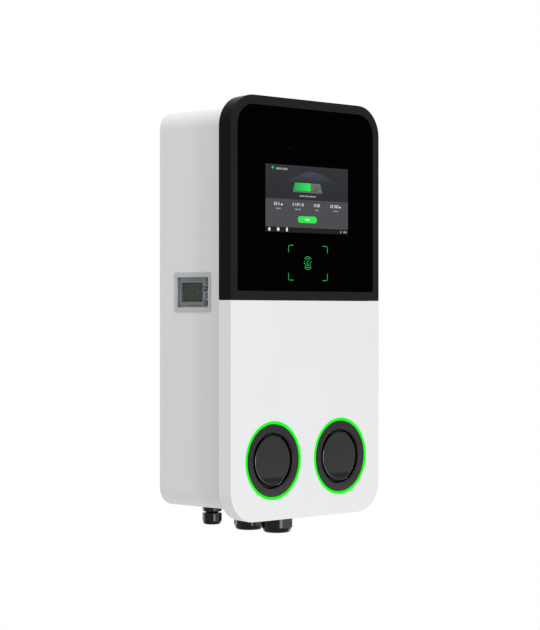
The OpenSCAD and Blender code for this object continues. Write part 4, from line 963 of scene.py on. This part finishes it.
def card_field():
    """Four corner marks round the place for a card, curved ridges in the middle, and a dim dash far above."""
    bm = bmesh.new()
    u0, u1, v0, v1 = -40.6, 43.2, 42.0, 93.4
    arm, bend = 10.4, 3.2
    corner_line, ridge_line = 0.65, 0.6
    for u, along in ((u0, 1), (u1, -1)):
        for v, up in ((v0, 1), (v1, -1)):
            turn = [(u + along * bend * (1 - math.sin(a)), v + up * bend * (1 - math.cos(a)))
                    for a in [math.pi / 2 * k / 8 for k in range(9)]]
            stroke(bm, [(u + along * arm, v)] + turn + [(u, v + up * arm)], corner_line, on_glass)
    ridges = [[(-6.7, 73.3), (-4.6, 75.8), (-1.8, 77.1), (0.6, 77.5), (2.8, 77.1), (5.3, 75.8), (7.8, 73.3)],
              [(-3.9, 71.5), (-2.1, 73.7), (0.6, 74.3), (3.2, 74.0), (4.9, 74.6)],
              [(3.9, 71.7), (1.1, 70.7), (-1.1, 69.4), (-1.3, 67.7), (0.7, 66.6), (2.5, 65.4), (1.4, 64.0)],
              [(-6.7, 70.2), (-6.9, 67.0), (-3.9, 65.5), (-1.4, 64.2), (1.4, 64.0)],
              [(8.8, 69.9), (6.2, 69.4), (5.8, 67.2), (6.2, 63.3)],
              [(-5.4, 62.8), (-2.1, 61.6), (1.1, 61.1), (3.9, 61.7), (6.2, 63.3)],
              [(-6.7, 61.7), (-4.6, 59.7), (-2.1, 58.4), (0.7, 58.0), (3.9, 58.4), (5.8, 59.7), (8.1, 61.2)]]
    for ridge in ridges:
        stroke(bm, ridge, ridge_line, on_glass)
    slab(bm, bar(-41, 237.1, -31, 237.9, 0.3), on_glass)
    for face in bm.faces:
        face.material_index = int(face.calc_center_median().z > 2 * v1 * MM)
    looks = (glow("card_green", srgb(64, 214, 103)), glow("dim_green", srgb(6, 34, 12)))
    piece("card_marks", bm, looks)


def meter_marks():
    """Dark border round the meter display, painted shade of its recess, a pointer and thin ruled lines on the
    meter's face.
    """
    lcd_lo, lcd_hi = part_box("meter_lcd")
    u0, u1, v0, v1 = lcd_lo.y / MM, lcd_hi.y / MM, lcd_lo.z / MM, lcd_hi.z / MM
    bm = bmesh.new()

    def on_lcd(u, v, out):
        return Vector((lcd_lo.x - out, u * MM, v * MM))
    # Dark rings on the display's edge and round its opening: painted shade of the recess
    border(bm, bar(u0, v0, u1, v1), bar(u0 + 1.2, v0 + 1.0, u1 - 1.2, v1 - 1.0), on_lcd)
    gap = 0.2
    inner = bar(u0 - gap, v0 - gap, u1 + gap, v1 + gap)
    border(bm, bar(u0 - 0.9, v0 - 0.6, u1 + 1.5, v1 + 0.6), inner, on_meter)
    look = plastic("lcd_border_dark", srgb(30, 35, 37), 0.6, 900, 0.05, 0.05, DULL)
    piece("lcd_border", bm, look)
    bm = bmesh.new()
    slab(bm, [(u1 + 3.6, v1 - 1.6), (u1 + 2.2, v1 - 3.0), (u1 + 3.6, v1 - 4.4)], on_meter)
    slab(bm, arc(u1 - 11.5, v0 - 6.8, 0.7, 0, 340, 12), on_meter)
    for low, far in ((3.6, 26), (5.4, 24)):
        slab(bm, bar(u0 + 3, v0 - low - 0.5, u0 + far, v0 - low), on_meter)
    slab(bm, bar(u0 + 4, v1 + 3.6, u0 + 20, v1 + 4.6), on_meter)
    look = plastic("meter_print_dark", srgb(84, 89, 92), 0.6, 900, 0.05, 0.05, DULL)
    piece("meter_print", bm, look)


def key_signs():
    """A generic sign on each meter key: up, down, square and bar."""
    look = plastic("key_print_pale", srgb(160, 166, 168), 0.6, 900, 0.05, 0.05, DULL)
    for i in range(1, 5):
        lo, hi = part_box(f"meter_key_{i}")
        u, v = (lo.y + hi.y) / 2 / MM, (lo.z + hi.z) / 2 / MM
        bm = bmesh.new()

        def on_key(du, dv, out):
            return Vector((lo.x - out, (u + du) * MM, (v + dv) * MM))
        if i == 1:
            slab(bm, [(-1.7, -1.2), (1.7, -1.2), (0, 1.5)], on_key)
        elif i == 2:
            slab(bm, [(-1.7, 1.2), (0, -1.5), (1.7, 1.2)], on_key)
        elif i == 3:
            stroke(bm, bar(-1.4, -1.4, 1.4, 1.4), 0.6, on_key, close=True)
        else:
            stroke(bm, [(1.6, 1.3), (1.6, -0.6), (-1.4, -0.6)], 0.7, on_key)
        piece(f"key_sign_{i}", bm, look, f"key_{i}")


def soften(name, width, segments=3):
    """Rounds the sharp edges of a CAD node that stays."""
    obj = frame["nodes"][name]
    weld = obj.modifiers.new("weld", "WELD")
    weld.merge_threshold = WELD_GAP
    flat = obj.modifiers.new("flat", "DECIMATE")
    flat.decimate_type = "DISSOLVE"
    flat.angle_limit = math.radians(FLAT_ANGLE)
    edge = obj.modifiers.new("edge", "BEVEL")
    edge.width = width
    edge.segments = segments
    edge.limit_method = "ANGLE"
    edge.angle_limit = math.radians(EDGE_ANGLE)
    even_normals(obj)


def dress_cad():
    """Materials of the CAD nodes that stay, by their slots, and rounded edges where they show."""
    for row in frame["record"]["subparts"]:
        mesh = frame["nodes"][row["node"]].data
        mesh.materials.clear()
        mesh.materials.append(LOOKS[row["material_slot"]])
    for name, width in SOFT_EDGES.items():
        soften(name, width)


def camera():
    """The photograph's view: level, from the front left."""
    data = bpy.data.cameras.new("camera")
    data.lens = CAMERA_LENS
    data.sensor_width = SENSOR_W
    cam = bpy.data.objects.new("camera", data)
    bpy.context.scene.collection.objects.link(cam)
    cam.location = CAMERA_PLACE
    cam.rotation_euler = Vector(CAMERA_LOOK).to_track_quat("-Z", "Y").to_euler()
    bpy.context.scene.camera = cam


def floor():
    """Pale floor at the height such a charger hangs over the ground; it fades out into the white."""
    bm = bmesh.new()
    bmesh.ops.create_circle(bm, cap_ends=True, segments=96, radius=FLOOR_R)
    mesh = bpy.data.meshes.new("floor")
    bm.to_mesh(mesh)
    bm.free()
    mat, tree, shader, coords = new_look("floor_pale", {"Roughness": 0.9, GLOSS: 0.1})
    stops = [(NOISE_LOW, (0.86, 0.86, 0.86, 1)), (NOISE_HIGH, (0.9, 0.9, 0.9, 1))]
    tone = ramp(tree, noise(tree, coords, 3), stops)
    tree.links.new(tone, shader.inputs["Base Color"])
    distance = add(tree, "VectorMath", operation="LENGTH")
    tree.links.new(coords, distance.inputs[0])
    away = add(tree, "MapRange", {"From Min": 0.3 * FLOOR_R, "From Max": 0.95 * FLOOR_R,
                                  "To Min": 1.0, "To Max": 0.0})
    tree.links.new(distance.outputs["Value"], away.inputs["Value"])
    tree.links.new(away.outputs["Result"], shader.inputs["Alpha"])
    mesh.materials.append(mat)
    obj = bpy.data.objects.new("floor", mesh)
    bpy.context.scene.collection.objects.link(obj)
    obj.location.z = FLOOR_Z


def world():
    """White to the camera and in reflections, a plain soft level as light."""
    studio = bpy.data.worlds.new("studio")
    bpy.context.scene.world = studio
    studio.use_nodes = True
    tree = studio.node_tree
    white = tree.nodes["Background"]
    white.inputs["Color"].default_value = (1, 1, 1, 1)
    light = add(tree, "Background", {"Strength": SOFT_LIGHT})
    path = add(tree, "LightPath")
    seen = path.outputs["Is Camera Ray"]
    for other in ("Is Glossy Ray", "Is Transmission Ray"):
        either = add(tree, "Math", operation="MAXIMUM")
        tree.links.new(seen, either.inputs[0])
        tree.links.new(path.outputs[other], either.inputs[1])
        seen = either.outputs[0]
    mix = add(tree, "MixShader")
    tree.links.new(seen, mix.inputs["Fac"])
    tree.links.new(light.outputs[0], mix.inputs[1])
    tree.links.new(white.outputs[0], mix.inputs[2])
    tree.links.new(mix.outputs[0], tree.nodes["World Output"].inputs["Surface"])


def lamp(name, place, power, wide, high):
    """A soft rectangular light that looks at the object."""
    data = bpy.data.lights.new(name, "AREA")
    data.energy = power
    data.shape = "RECTANGLE"
    data.size = wide
    data.size_y = high
    obj = bpy.data.objects.new(name, data)
    bpy.context.scene.collection.objects.link(obj)
    obj.location = place
    obj.rotation_euler = (-Vector(place)).to_track_quat("-Z", "Y").to_euler()


camera()
world()
for name, settings in LAMPS.items():
    lamp(name, *settings)
floor()
dress_cad()
lower_panel()
upper_bezel()
glass()
for side_name in SIDES:
    light_ring(side_name)
    socket_surround(side_name)
    lid(side_name)
glands()
screen_ground()
screen_battery()
screen_figures()
screen_words()
screen_greens()
card_field()
meter_marks()
key_signs()

bpy.context.scene.view_settings.view_transform = "Standard"
